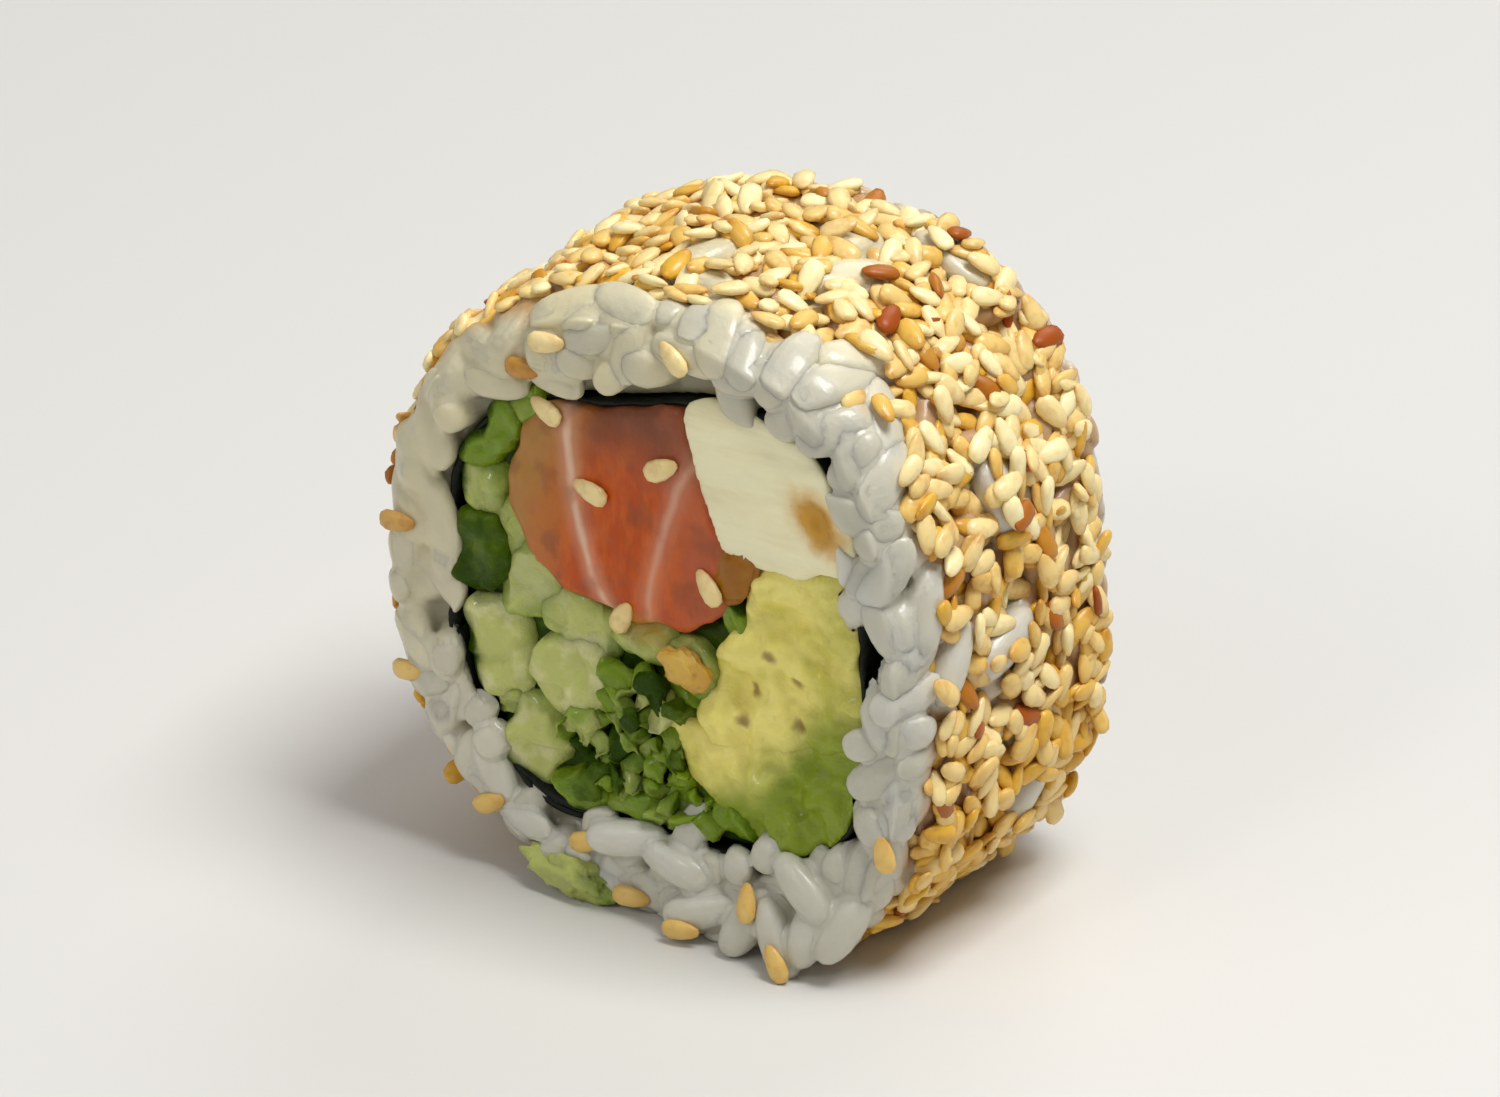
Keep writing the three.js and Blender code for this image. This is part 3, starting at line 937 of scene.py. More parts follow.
    def add_face_grains(self, fused: Swarm, side: int, draw: random.Random) -> None:
        """Lays grains over one cut face, pressed flat by the knife, some of them end on."""
        half = self.shape.half_length
        darts = Darts()
        facing = Vector((0, side, 0))
        for _ in range(self.throws):
            angle, share = draw.uniform(-math.pi, math.pi), math.sqrt(draw.random())
            inner = self.shape.inside(angle, side * half) - self.shape.smear(angle, side) + 0.7
            outer = self.shape.outside(angle, side * (half - 1)) - 0.6
            radius = float(inner + (outer - inner) * share)
            along = side * (half - draw.uniform(0.2, 1.1))
            point = Vector((radius * math.cos(angle), along, radius * math.sin(angle)))
            if darts.lands(Vector((point.x, 0, point.z)), self.face_apart):
                tip = draw.gauss(0, 0.3) if draw.random() < 0.75 else draw.uniform(0.8, 1.4)
                turn, size = draw.uniform(0, math.pi), draw.uniform(0.88, 1.1)
                place = lie(point, facing, turn, tip, size)
                self.lay(fused, place, half + draw.uniform(-0.3, 0.25), 0.2, draw)

    def outer_grains(self, draw: random.Random) -> list[tuple[float, Matrix]]:
        """Places whole grains over the outer side, closest together near the cut faces.

        Args:
            draw: The random source.

        Returns:
            The place along the roll and the matrix of each grain.
        """
        half = self.shape.half_length
        darts = Darts()
        grains = []
        for bared in self.cover.bared:
            place = self.cover.whole_grain(bared)
            darts.lands(place.translation, 0)
            grains.append((bared.along, place))
        for _ in range(self.throws):
            angle, along = draw.uniform(-math.pi, math.pi), draw.uniform(-half, half)
            point = self.shape.point(angle, along, -0.75)
            apart = self.rim_apart if abs(along) > half - self.end_depth else self.side_apart
            if darts.lands(point, apart):
                normal = self.shape.normal(angle, along)
                turn, tip = draw.uniform(0, math.pi), draw.gauss(0, 0.12)
                grains.append((along, lie(point, normal, turn, tip, draw.uniform(0.9, 1.05))))
        return grains

    def add_drooping(self, swarm: Swarm) -> None:
        """Hangs the few grains in front of the cut face's lower edge."""
        facing = Vector((0.1, -1, 0.1))
        for grain in self.drooping:
            place = lie(Vector(grain.middle), facing, math.radians(grain.turn), 0.1, 1.0)
            swarm.add(place, limit=self.kept_in(-14.4, -self.nori_edge, 4.0))
            self.whole.add(place, 0.2, 0.0, self.kept_in(-14.5, -self.nori_edge, 4.0))

    def mark(self, mesh: bpy.types.Mesh) -> None:
        """Stores on the mesh how deep between grains, and how far under seeds, each point lies, for
        the painted crease shade and the golden tint under the seeds.
        """
        places = coordinates(mesh)
        angle, along = np.arctan2(places[:, 2], places[:, 0]), places[:, 1]
        radius = np.hypot(places[:, 0], places[:, 2])
        under_face = self.shape.half_length + self.face_overhang - np.abs(along)
        under_side = self.shape.outside(angle, along) + self.side_overhang - radius
        under = np.minimum(under_face, under_side)
        # The depth sets the painted shade in the creases between grains.
        depth = np.clip((under - self.crease_from) / self.crease_over, 0, 1)
        # The seed cover over each point sets the golden tint, partly painted shade and bounce
        # light, partly sauce.
        coated = np.zeros(len(places))
        shown = under_side < 2.5
        coated[shown] = self.cover.share(angle[shown], along[shown])
        trait = np.full(len(places) * 4, 0.5)
        if Swarm.TRAIT in mesh.color_attributes:
            mesh.color_attributes[Swarm.TRAIT].data.foreach_get("color", trait)
        give_traits(mesh, trait[::4], depth * depth * (3 - 2 * depth), coated)

    def piece(self, name: str, mesh: bpy.types.Mesh, material: bpy.types.Material) -> None:
        """Puts one piece of the rice into the scene.

        Args:
            name: The piece's name.
            mesh: Its mesh in the roll's own space.
            material: Its finish.
        """
        self.mark(mesh)
        self.meshes.append(mesh.copy())
        piece = finished(name, mesh, self.shape, material)
        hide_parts("rice_with_sesame")

    def fuse(self, swarm: Swarm, low: float, high: float, skin: float) -> bpy.types.Mesh:
        """Fuses grains and a core into one skin.

        Args:
            swarm: The grains.
            low: The core's lower end along the roll.
            high: Its higher end.
            skin: The skin's spacing.

        Returns:
            The fused mesh.
        """
        swarm.gathered.from_mesh(self.core(low, high))
        return refined(swarm.mesh("fused"), skin, self.softening)

    def build(self) -> None:
        """Makes the fused ring in three pieces that overlap, and the whole grains in it."""
        draw = random.Random(self.draw_seed)
        material = self.finish.material(self.shape)
        half = self.shape.half_length
        inner_end = half - self.end_depth
        grains = self.outer_grains(draw)
        bared = len(self.cover.bared)
        self.whole = Swarm(grain_template("rice_grain", self.grain, 0.12, (14, 10)))
        for name, side in (("rice_front", -1), ("rice_back", 1)):
            swarm = Swarm(grain_template("rice_grain", self.grain, 0.12, (12, 8)))
            self.add_face_grains(swarm, side, draw)
            for along, place in grains:
                if side * along > inner_end:
                    self.lay(swarm, place, half + 0.1, 0.4, draw)
            if side < 0:
                self.add_drooping(swarm)
            low, high = sorted((side * (inner_end - 0.5), side * (half - self.core_sunk)))
            self.piece(name, self.fuse(swarm, low, high, self.end_skin), material)
        swarm = Swarm(grain_template("rice_grain", self.grain, 0.12, (12, 8)))
        for count, (along, place) in enumerate(grains):
            if abs(along) <= inner_end:
                if count < bared:
                    # The bared grains get a tone of at most 0.2: painted light that makes them
                    # paler than the rest.
                    self.lay(swarm, place, half, 0.9, draw, 0.2)
                else:
                    swarm.add(place, limit=self.kept_in(-half, half, 0.7))
        side = self.fuse(swarm, -inner_end - 0.5, inner_end + 0.5, self.side_skin)
        self.piece("rice_side", side, material)
        LOG.info("rice: %d whole grains", self.whole.count)
        self.piece("rice_grains", self.whole.mesh("rice_grains"), material)


# ------------------------------------------------------------------ sesame
@dataclass(frozen=True)
class SeedFinish:
    """Toasted sesame: cream to gold, browner at the pointed end, a few burnt ones, and more golden
    towards the bottom, partly as painted shade, partly a browner glaze.
    """

    cream: str = "#fff0b8"
    gold: str = "#e2b038"
    tip: str = "#c48426"
    burnt: str = "#a04804"

    def material(self, shape: RollShape) -> bpy.types.Material:
        """Makes the seeds' material."""
        fixed = soft(0.1, (1.0, 0.8, 0.4), 0.3)
        fixed |= {"Specular IOR Level": 0.35, "Coat Roughness": 0.15}
        bench = Bench("toasted_sesame", fixed)
        place = bench.place(shape)
        tone, far, burnt = bench.traits(Swarm.TRAIT)
        _, _, z = bench.parts(place)
        # More golden towards the bottom: painted shade where the light falls off, partly a browner
        # glaze.
        shade_and_glaze_below = tone + 0.45 * bench.step(z, 6.0, -14.0)
        hull = bench.blend(shade_and_glaze_below, paint(self.cream), paint(self.gold))
        patches = bench.step(bench.cloud(place, 0.9, 2), 0.48, 0.7)
        toasted = bench.step(far, 0.55, 1.0) * 0.6 + 0.45 * patches
        tipped = bench.blend(toasted * (0.3 + 0.7 * tone), hull, paint(self.tip))
        bench.feed("Base Color", bench.blend(burnt, tipped, paint(self.burnt)))
        bench.feed("Coat Weight", 0.27 - 0.24 * burnt)
        bench.feed("Roughness", 0.28 + 0.25 * bench.cloud(place, 0.7, 2))
        bench.relief(bench.cloud(place, 0.35, 2), 0.03)
        return bench.material


@dataclass(frozen=True)
class LooseSeed:
    """A seed on the cut face: place across and up, turn in degrees, how burnt, size, how golden."""

    across: float
    up: float
    turn: float
    dark: float = 0.0
    size: float = 0.95
    tone: float = 0.3


@dataclass
class SesameCoat:
    """The sesame seeds, pressed into the rice all round and strewn over the front cut face."""

    shape: RollShape
    cover: SeedCover
    finish: SeedFinish = SeedFinish()
    seed: tuple[float, float, float] = (3.0, 1.95, 1.0)
    apart: float = 1.22
    upper_apart: float = 1.45
    lift: float = 0.2
    upper_lift: float = 0.6
    upper_chance: float = 0.85
    burnt_chance: float = 0.03
    throws: int = 16000
    draw_seed: int = 17
    burnt: tuple[tuple[float, float], ...] = (
        (115, 7.5), (97, 0.5), (42, 1.5), (66, 10.5), (51, 11.0), (43, 9.5), (-10, -5.5),
        (-30, 5.0), (-45, -6.5), (21, -0.5), (-2, 9.0), (-19, -10.5), (1, 3.5), (68, 1.0),
        (130, 6.5), (200, 2.0), (170, -6.0), (225, 7.0),
    )
    loose: tuple[LooseSeed, ...] = (
        LooseSeed(-7.5, 18.8, 10), LooseSeed(2.6, 20.4, 140), LooseSeed(-9.8, 16.0, 5, 0.45),
        LooseSeed(-8.0, 13.4, 160), LooseSeed(1.4, 11.8, 30), LooseSeed(-4.5, 8.4, 165),
        LooseSeed(-19.6, 2.2, 5, 0.35), LooseSeed(5.0, 4.0, 130), LooseSeed(-2.0, -0.2, 60),
        LooseSeed(-19.3, -9.2, 10), LooseSeed(-12.8, -17.2, 30),
        LooseSeed(-4.6, -17.6, 20), LooseSeed(-1.1, -20.8, 0), LooseSeed(4.0, -21.0, 5),
        LooseSeed(9.0, -17.8, 100), LooseSeed(12.0, -20.9, 120), LooseSeed(19.0, -11.6, 100),
    )

    def add_coat(self, swarm: Swarm, rice: Skins, draw: random.Random) -> None:
        """Presses the seeds into the rice, then more on top of them."""
        half = self.shape.half_length
        upper = (self.upper_apart, self.upper_lift, self.upper_chance)
        for apart, lift, chance in ((self.apart, self.lift, 1.0), upper):
            darts = Darts()
            if lift < self.upper_lift:
                for degrees, along in self.burnt:
                    angle, dark = math.radians(degrees), draw.uniform(0.55, 1)
                    self.press(swarm, rice, angle, along, self.upper_lift, dark, draw)
                    darts.lands(self.shape.point(angle, along), 0)
            throws = range(self.throws)
            thrown = [(draw.uniform(-math.pi, math.pi), draw.uniform(-half, half)) for _ in throws]
            angles, alongs = np.array(thrown).T
            shares = self.cover.share(angles, alongs) * chance
            for angle, along, share in zip(angles, alongs, shares):
                if draw.random() < share and darts.lands(self.shape.point(angle, along), apart):
                    dark = draw.uniform(0.4, 1.0) if draw.random() < self.burnt_chance else 0.0
                    self.press(swarm, rice, float(angle), float(along), lift, dark, draw)

    def press(
        self,
        swarm: Swarm,
        rice: Skins,
        angle: float,
        along: float,
        lift: float,
        dark: float,
        draw: random.Random,
    ) -> None:
        """Presses one seed into the rice.

        Args:
            swarm: The seeds so far.
            rice: The rice's surface.
            angle: The angle round the axis, in radians.
            along: The place along the roll.
            lift: How far the seed's middle stands off the rice.
            dark: How burnt it is, from 0 to 1.
            draw: The random source.
        """
        normal = self.shape.normal(angle, along)
        hit, facing = rice.hit(self.shape.point(angle, along, 5), -normal, 9)
        if hit is None:
            return
        leaning = (normal * 0.65 + facing * 0.35).normalized()
        turn, tip = draw.uniform(0, 2 * math.pi), draw.gauss(0, 0.2)
        size, roll = draw.uniform(0.78, 1.0), draw.gauss(0, 0.28)
        place = lie(hit + normal * lift, leaning, turn, tip, size, roll)
        tone = draw.gauss(0.65 if lift < self.upper_lift else 0.35, 0.3)
        swarm.add(place, min(1.0, max(0.0, tone, 2 * dark)), dark, self.off_floor)

    def off_floor(self, points: np.ndarray) -> np.ndarray:
        """Keeps points off the floor."""
        points[:, 2] = np.maximum(points[:, 2], -self.shape.axis_height)
        return points

    def add_loose(self, swarm: Swarm, shown: Skins) -> None:
        """Lays the loose seeds on whatever is nearest the viewer at the front face."""
        for seed in self.loose:
            hit, facing = shown.front(seed.across, seed.up)
            if hit:
                normal = (facing * 0.5 + Vector((0, -1, 0))).normalized()
                place = lie(hit + normal * 0.3, normal, math.radians(seed.turn), 0.08, seed.size)
                swarm.add(place, max(seed.tone, 2 * seed.dark), seed.dark, self.off_floor)

    def build(self, rice: Skins, shown: Skins) -> bpy.types.Object:
        """Makes all the seeds as one piece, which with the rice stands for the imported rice.

        Args:
            rice: The rice's surface.
            shown: What shows at the front face.

        Returns:
            The seeds.
        """
        draw = random.Random(self.draw_seed)
        swarm = Swarm(grain_template("sesame_seed", self.seed, 0.42, (8, 6)))
        self.add_coat(swarm, rice, draw)
        self.add_loose(swarm, shown)
        LOG.info("sesame: %d seeds", swarm.count)
        material = self.finish.material(self.shape)
        piece = finished("sesame_seeds", swarm.mesh("sesame_seeds"), self.shape, material)
        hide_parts("rice_with_sesame")
        return piece


# ------------------------------------------------------------------ nori
@dataclass(frozen=True)
class NoriFinish:
    """Damp seaweed sheet: green-black, crinkled, a little glossy."""

    dark: str = "#080a05"
    green: str = "#171f0d"

    def material(self, shape: RollShape) -> bpy.types.Material:
        """Makes the nori's material."""
        fixed = {"Specular IOR Level": 0.2, "Coat Weight": 0.04, "Coat Roughness": 0.3}
        bench = Bench("damp_nori", fixed)
        fibres = bench.cloud(bench.place(shape), 0.8, 4, 0.65)
        greener = bench.step(fibres, 0.35, 0.75)
        bench.feed("Base Color", bench.blend(greener, paint(self.dark), paint(self.green)))
        bench.feed("Roughness", 0.35 + 0.3 * fibres)
        bench.relief(fibres, 0.1)
        return bench.material


@dataclass
class NoriSheet:
    """The seaweed sheet: one turn round the filling, its end lapped over its start."""

    shape: RollShape
    finish: NoriFinish = NoriFinish()
    thickness: float = 0.28
    start: float = 199.0
    lap: float = 52.0
    lap_lift: float = 0.4
    set_back: float = 0.4
    sag: float = 0.8

    def build(self) -> bpy.types.Object:
        """Curls a grid into the sheet, crinkles it and gives it its thickness."""
        sheet = bmesh.new()
        bmesh.ops.create_grid(sheet, x_segments=220, y_segments=16, size=0.5)
        for vertex in sheet.verts:
            turn = (vertex.co.x + 0.5) * (360 + self.lap)
            angle = math.radians(self.start + turn)
            along = vertex.co.y * 2 * (self.shape.half_length - self.set_back)
            lifted = self.lap_lift * max(0.0, min(1.0, (turn - 350) / 12))
            crinkle = 0.12 * noise.noise(Vector((turn * 0.14, along * 0.3, 2)))
            hollow = float(self.shape.inside(angle, along) - self.shape.inside(angle, 0.0))
            radius = float(self.shape.filling.radius(angle)) + 0.15 + lifted + crinkle
            radius += hollow * self.sag * (0.5 - 0.5 * math.cos(angle))
            if abs(vertex.co.y) > 0.49:
                along += 0.25 * noise.noise(Vector((turn * 0.22, 7, math.copysign(3, along))))
            vertex.co = (radius * math.cos(angle), along, radius * math.sin(angle))
        bmesh.ops.recalc_face_normals(sheet, faces=sheet.faces)
        bmesh.ops.solidify(sheet, geom=sheet.faces, thickness=self.thickness)
        bmesh.ops.recalc_face_normals(sheet, faces=sheet.faces)
        settle(sheet)
        material = self.finish.material(self.shape)
        piece = finished("nori", meshed("nori", sheet), self.shape, material)
        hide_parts("nori_sheet")
        return piece


# ------------------------------------------------------------------ the strips of filling
@dataclass(frozen=True)
class FatLine:
    """A white line in the salmon: it bends away from an upright line as it leaves its foot."""

    foot_across: float
    foot_up: float
    bend: float
    width: float
    strength: float


@dataclass(frozen=True)
class SalmonFinish:
    """Raw salmon: orange with two pale fat lines, brown at its top, paler at both sides."""

    flesh: str = "#be4c0a"
    vivid: str = "#d86414"
    deep: str = "#80482e"
    pale: str = "#bf7434"
    pink: str = "#b86443"
    olive: str = "#a8904a"
    fat: str = "#e8bfa3"
    lines: tuple[FatLine, ...] = (
        FatLine(-6.4, 13.0, 0.0183, 1.5, 1.0),
        FatLine(0.3, 0.0, 0.021, 1.6, 0.55),
    )

    def material(self, shape: RollShape) -> bpy.types.Material:
        """Makes the salmon's material."""
        fixed = soft(0.15, (1.0, 0.3, 0.12), 1.0)
        fixed |= {"Specular IOR Level": 0.18, "Coat Weight": 0.16, "Coat Roughness": 0.08}
        bench = Bench("raw_salmon", fixed)
        place = bench.place(shape)
        x, _, z = bench.parts(place)
        wobble = (bench.cloud(place, 4.0, 3) - 0.5) * 2.2
        flakes = bench.cloud(bench.stretched(place, (1, 0.4, 0.35)), 1.3, 4, 0.6)
        colour = bench.blend(bench.step(flakes, 0.35, 0.7), paint(self.flesh), paint(self.vivid))
        colour = bench.blend(bench.step(z + wobble, 8.5, 15.0), colour, paint(self.deep))
        from_left = x + wobble * 0.6 - 0.25 * z
        colour = bench.blend(bench.step(from_left, -6.6, -9.2) * 0.85, colour, paint(self.pale))
        colour = bench.blend(bench.step(x + wobble, 0.5, 4.5) * 0.6, colour, paint(self.pink))
        colour = bench.blend(bench.step(from_left, -9.2, -11.6) * 0.5, colour, paint(self.olive))
        veins = bench.cloud(place, 2.6, 3)
        colour = bench.blend(bench.step(veins, 0.5, 0.75) * 0.4, colour, paint(self.pink))
        colour = bench.blend(bench.step(veins, 0.5, 0.3) * 0.45, colour, paint(self.deep))
        for line in self.lines:
            rise = z - line.foot_up
            off = abs(x - line.foot_across - rise * rise * line.bend + wobble * 0.25)
            thread = bench.step(off + (flakes - 0.5) * 0.5, line.width * 0.35, 0.0)
            thread = thread * bench.step(veins, 0.3, 0.55)
            haze = bench.step(off, line.width, 0.0) * 0.36 + thread * 0.62
            colour = bench.blend(haze * line.strength, colour, paint(self.fat))
        bench.feed("Base Color", colour)
        bench.feed("Roughness", 0.25 + 0.3 * flakes)
        bench.relief(flakes, 0.22)
        return bench.material


@dataclass(frozen=True)
class CheeseFinish:
    """Cream cheese: ivory and dull, with knife drags and an amber smear of sauce at its right."""

    ivory: str = "#fff6cc"
    shade: str = "#f0e5b4"
    smear: str = "#dca11e"
    smear_across: float = 13.6
    smear_up: float = 11.1

    def material(self, shape: RollShape) -> bpy.types.Material:
        """Makes the cheese's material."""
        fixed = soft(0.3, (1.0, 0.9, 0.6), 1.5)
        fixed |= {"Coat Weight": 0.08, "Coat Roughness": 0.4}
        bench = Bench("cream_cheese", fixed)
        place = bench.place(shape)
        x, y, z = bench.parts(place)
        drag = bench.cloud(bench.stretched(place, (0.25, 1, 1.6)), 1.6, 3)
        colour = bench.blend(bench.step(drag, 0.4, 0.8) * 0.6, paint(self.ivory), paint(self.shade))
        right, up = x - self.smear_across, z - self.smear_up
        down_slope, across_slope = right * 0.7 - up * 0.72, right * 0.72 + up * 0.7
        away = (down_slope * down_slope * 0.22 + across_slope * across_slope * 0.6) ** 0.5
        ragged = away + (bench.cloud(place, 1.2, 3) - 0.5) * 1.1
        smeared = bench.step(ragged, 1.9, 0.3) * bench.step(y, -9.0, -11.0) * 0.9
        bench.feed("Base Color", bench.blend(smeared, colour, paint(self.smear)))
        bench.feed("Roughness", 0.5 - 0.25 * smeared + 0.1 * drag)
        bench.relief(drag, 0.16)
        return bench.material


@dataclass(frozen=True)
class AvocadoFinish:
    """Ripe avocado: butter yellow, green towards the peel side, with a few brown specks."""

    yellow: str = "#f8ea84"
    olive: str = "#cfc648"
    green: str = "#879a18"
    speck: str = "#7c4d22"
    peel_from: float = 12.4
    peel_to: float = 16.6
    specks: tuple[tuple[float, float], ...] = (
        (8.1, -3.1), (11.5, -1.5), (7.6, -5.2), (9.7, 0.1), (11.7, -4.7)
    )

    def material(self, shape: RollShape) -> bpy.types.Material:
        """Makes the avocado's material."""
        fixed = soft(0.2, (0.9, 1.0, 0.3), 1.0)
        fixed |= {"Specular IOR Level": 0.3, "Coat Weight": 0.25, "Coat Roughness": 0.1}
        bench = Bench("ripe_avocado", fixed)
        place = bench.place(shape)
        x, y, z = bench.parts(place)
        patches = bench.cloud(place, 4.0, 3)
        riper = bench.step(patches, 0.4, 0.72) * 0.8
        colour = bench.blend(riper, paint(self.yellow), paint(self.olive))
        lower = bench.step(z, 0.0, -7.0)
        reach = (x * x + z * z) ** 0.5 + (patches - 0.5) * 4 + lower * 2.0
        peel = bench.step(reach, self.peel_from, self.peel_to) * (0.3 + 0.7 * lower)
        colour = bench.blend(peel, colour, paint(self.green))
        for across, up in self.specks:
            right, rise = x - across, z - up
            away = (right * right + rise * rise) ** 0.5 + (bench.cloud(place, 0.8, 2) - 0.5) * 0.5
            spot = bench.step(away, 0.75, 0.2) * bench.step(y, -9.0, -11.0) * 0.75
            colour = bench.blend(spot, colour, paint(self.speck))
        bench.feed("Base Color", colour)
        bench.feed("Roughness", 0.3 + 0.25 * patches)
        bench.relief(bench.cloud(place, 0.9, 4, 0.65), 0.2)
        return bench.material


class Cut(Enum):
    """How a strip's cut faces came out: how high and how wide their lumps are, in mm."""

    CLEAN = (0.3, 5.0)
    SOFT = (0.45, 4.0)
    MUSHY = (1.1, 2.6)


@dataclass
class Strip:
    """A strip of filling that runs from cut face to cut face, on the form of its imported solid."""

    shape: RollShape
    node: str
    name: str
    slot: str
    material: bpy.types.Material
    cut: Cut
    front: float
    skin: float = 0.28
    smoothing: int = 4
    swell: float = 0.3
    wavy: float = 0.45
    bulge: float = 0.0
    shown: bpy.types.Mesh | None = field(default=None, init=False)

    def build(self, frame: dict) -> bpy.types.Object:
        """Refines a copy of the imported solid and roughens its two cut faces.


        Returns:
            The strip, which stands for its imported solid.
        """
        solid = frame["nodes"][self.node].data
        mesh = unpacked(solid, self.name, self.shape, self.front, self.skin, self.smoothing)
        depth, lump = self.cut.value
        ways = [normal.vector.copy() for normal in mesh.vertex_normals]
        for vertex, way in zip(mesh.vertices, ways):
            side = math.copysign(1, vertex.co.y)
            near = max(0.0, 1 - (self.front - abs(vertex.co.y)) / 2)
            outward = Vector((vertex.co.x, 0, vertex.co.z)).normalized()
            uneven = noise.noise(vertex.co * Vector((0.45, 0.15, 0.45)))
            vertex.co += Vector((way.x, 0, way.z)) * (self.swell + self.wavy * uneven)
            if side < 0:
                vertex.co += outward * (self.bulge * near * max(0.0, way.dot(outward)) ** 0.5)
            spot = vertex.co * Vector((1, 0.1, 1)) / lump + Vector((0, side * 9, 0))
            rough = noise.fractal(spot, 1, 2, 3)
            vertex.co.y += side * near * depth * (rough - 0.15)
        self.shown = mesh.copy()
        piece = finished(self.name, mesh, self.shape, self.material)
        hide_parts(self.node)
        return piece


# ------------------------------------------------------------------ cucumber
@dataclass(frozen=True)
class CucumberFinish:
    """Cut cucumber: pale wet flesh, bright green under the peel, dark green peel."""

    flesh: str = "#c2c774"
    milky: str = "#dedaa2"
    green: str = "#76911a"
    peel: str = "#2c4600"

    def material(self, shape: RollShape) -> bpy.types.Material:
        """Makes the cucumber's material."""
        fixed = soft(0.35, (0.8, 1.0, 0.3), 1.3)
        fixed |= {"Specular IOR Level": 0.1, "Coat Roughness": 0.06}
        bench = Bench("cut_cucumber", fixed)
        place = bench.place(shape)
        tone, out, peel = bench.traits(Swarm.TRAIT)
        veins = bench.cloud(place, 1.8, 3)
        flesh = bench.blend(bench.step(veins, 0.45, 0.7), paint(self.flesh), paint(self.milky))
        greener = tone + (veins - 0.5) * 0.9 + bench.step(out, 0.5, 1.0) * 0.3
        flesh = bench.blend(bench.step(greener, 0.1, 0.9), flesh, paint(self.green))
        dark = bench.step(peel + (veins - 0.5) * 0.45, 0.4, 0.8)
        bench.feed("Base Color", bench.blend(dark, flesh, paint(self.peel)))
        bench.feed("Coat Weight", 0.4 - 0.38 * dark)
        bench.feed("Roughness", 0.2 + 0.25 * veins)
        bench.relief(bench.cloud(place, 0.8, 4, 0.65), 0.2)
        return bench.material


@dataclass(frozen=True)
class Chunk:
    """A piece of cucumber that runs through the roll.

    Its place and half sizes are in millimetres, its turns in degrees. The tone runs from pale to
    green. Peel shows on the side that ``peel_turn`` points to, if there is one.
    """

    across: float
    up: float
    half_width: float
    half_height: float
    turn: float
    tone: float
    peel_turn: float | None = None
    sunk: float = 0.0
    shade: float = 0.08

    # Each kind of lump: how many to a millimetre, the share of that along the roll, how high in mm.
    LUMPS = ((0.42, 0.25, 0.8), (1.1, 0.6, 0.22), (2.6, 0.6, 0.05))
    RIM = 0.6  # the share of the ball's height that the sides of the bar take

    def build(self, half_length: float, draw: random.Random) -> bmesh.types.BMesh:
        """Makes the chunk: a soft-edged lumpy bar, most of whose points lie in its two cut ends.

        Args:
            half_length: Half the length of the roll.
            draw: The random source.

        Returns:
            The chunk, with its traits.
        """
        bar = bmesh.new()
        bmesh.ops.create_icosphere(bar, subdivisions=5, radius=1.0)
        trait = bar.verts.layers.float_color.new(Swarm.TRAIT)
        shift = Vector((draw.uniform(0, 50), 0, draw.uniform(0, 50)))
        front, back = draw.uniform(-0.35, 0.35), draw.uniform(-0.5, 0.3)
        ends = {-1: half_length - self.sunk + front, 1: half_length + back}
        turn = Matrix.Rotation(math.radians(-self.turn), 3, "Y")
        for vertex in bar.verts:
            side, height = math.copysign(1, vertex.co.y), abs(vertex.co.y)
            round_way = math.atan2(vertex.co.z, vertex.co.x)
            out = math.sqrt(max(0.0, 1 - height * height)) / math.sqrt(1 - self.RIM * self.RIM)
            out = min(1.0, out)
            right, rise = math.cos(round_way), math.sin(round_way)
            corner = (abs(right) ** 3 + abs(rise) ** 3) ** (-1 / 3)
            along = side * (ends[side] - 0.8 * out**6) * min(1.0, height / self.RIM)
            flat = Vector((right * self.half_width, 0, rise * self.half_height))
            place = turn @ (flat * out * corner) + Vector((self.across, along, self.up))
            vertex.co = place
            for close, share_along, high in self.LUMPS:
                spot = place * close * Vector((1, share_along, 1)) + shift
                vertex.co += noise.noise_vector(spot) * high
            peel = self.shade
            if self.peel_turn is not None:
                way = round_way + math.radians(self.turn) - math.radians(self.peel_turn)
                peel = max(peel, out * math.cos(way))
            vertex[trait] = (self.tone, out, peel, 1.0)
        return bar


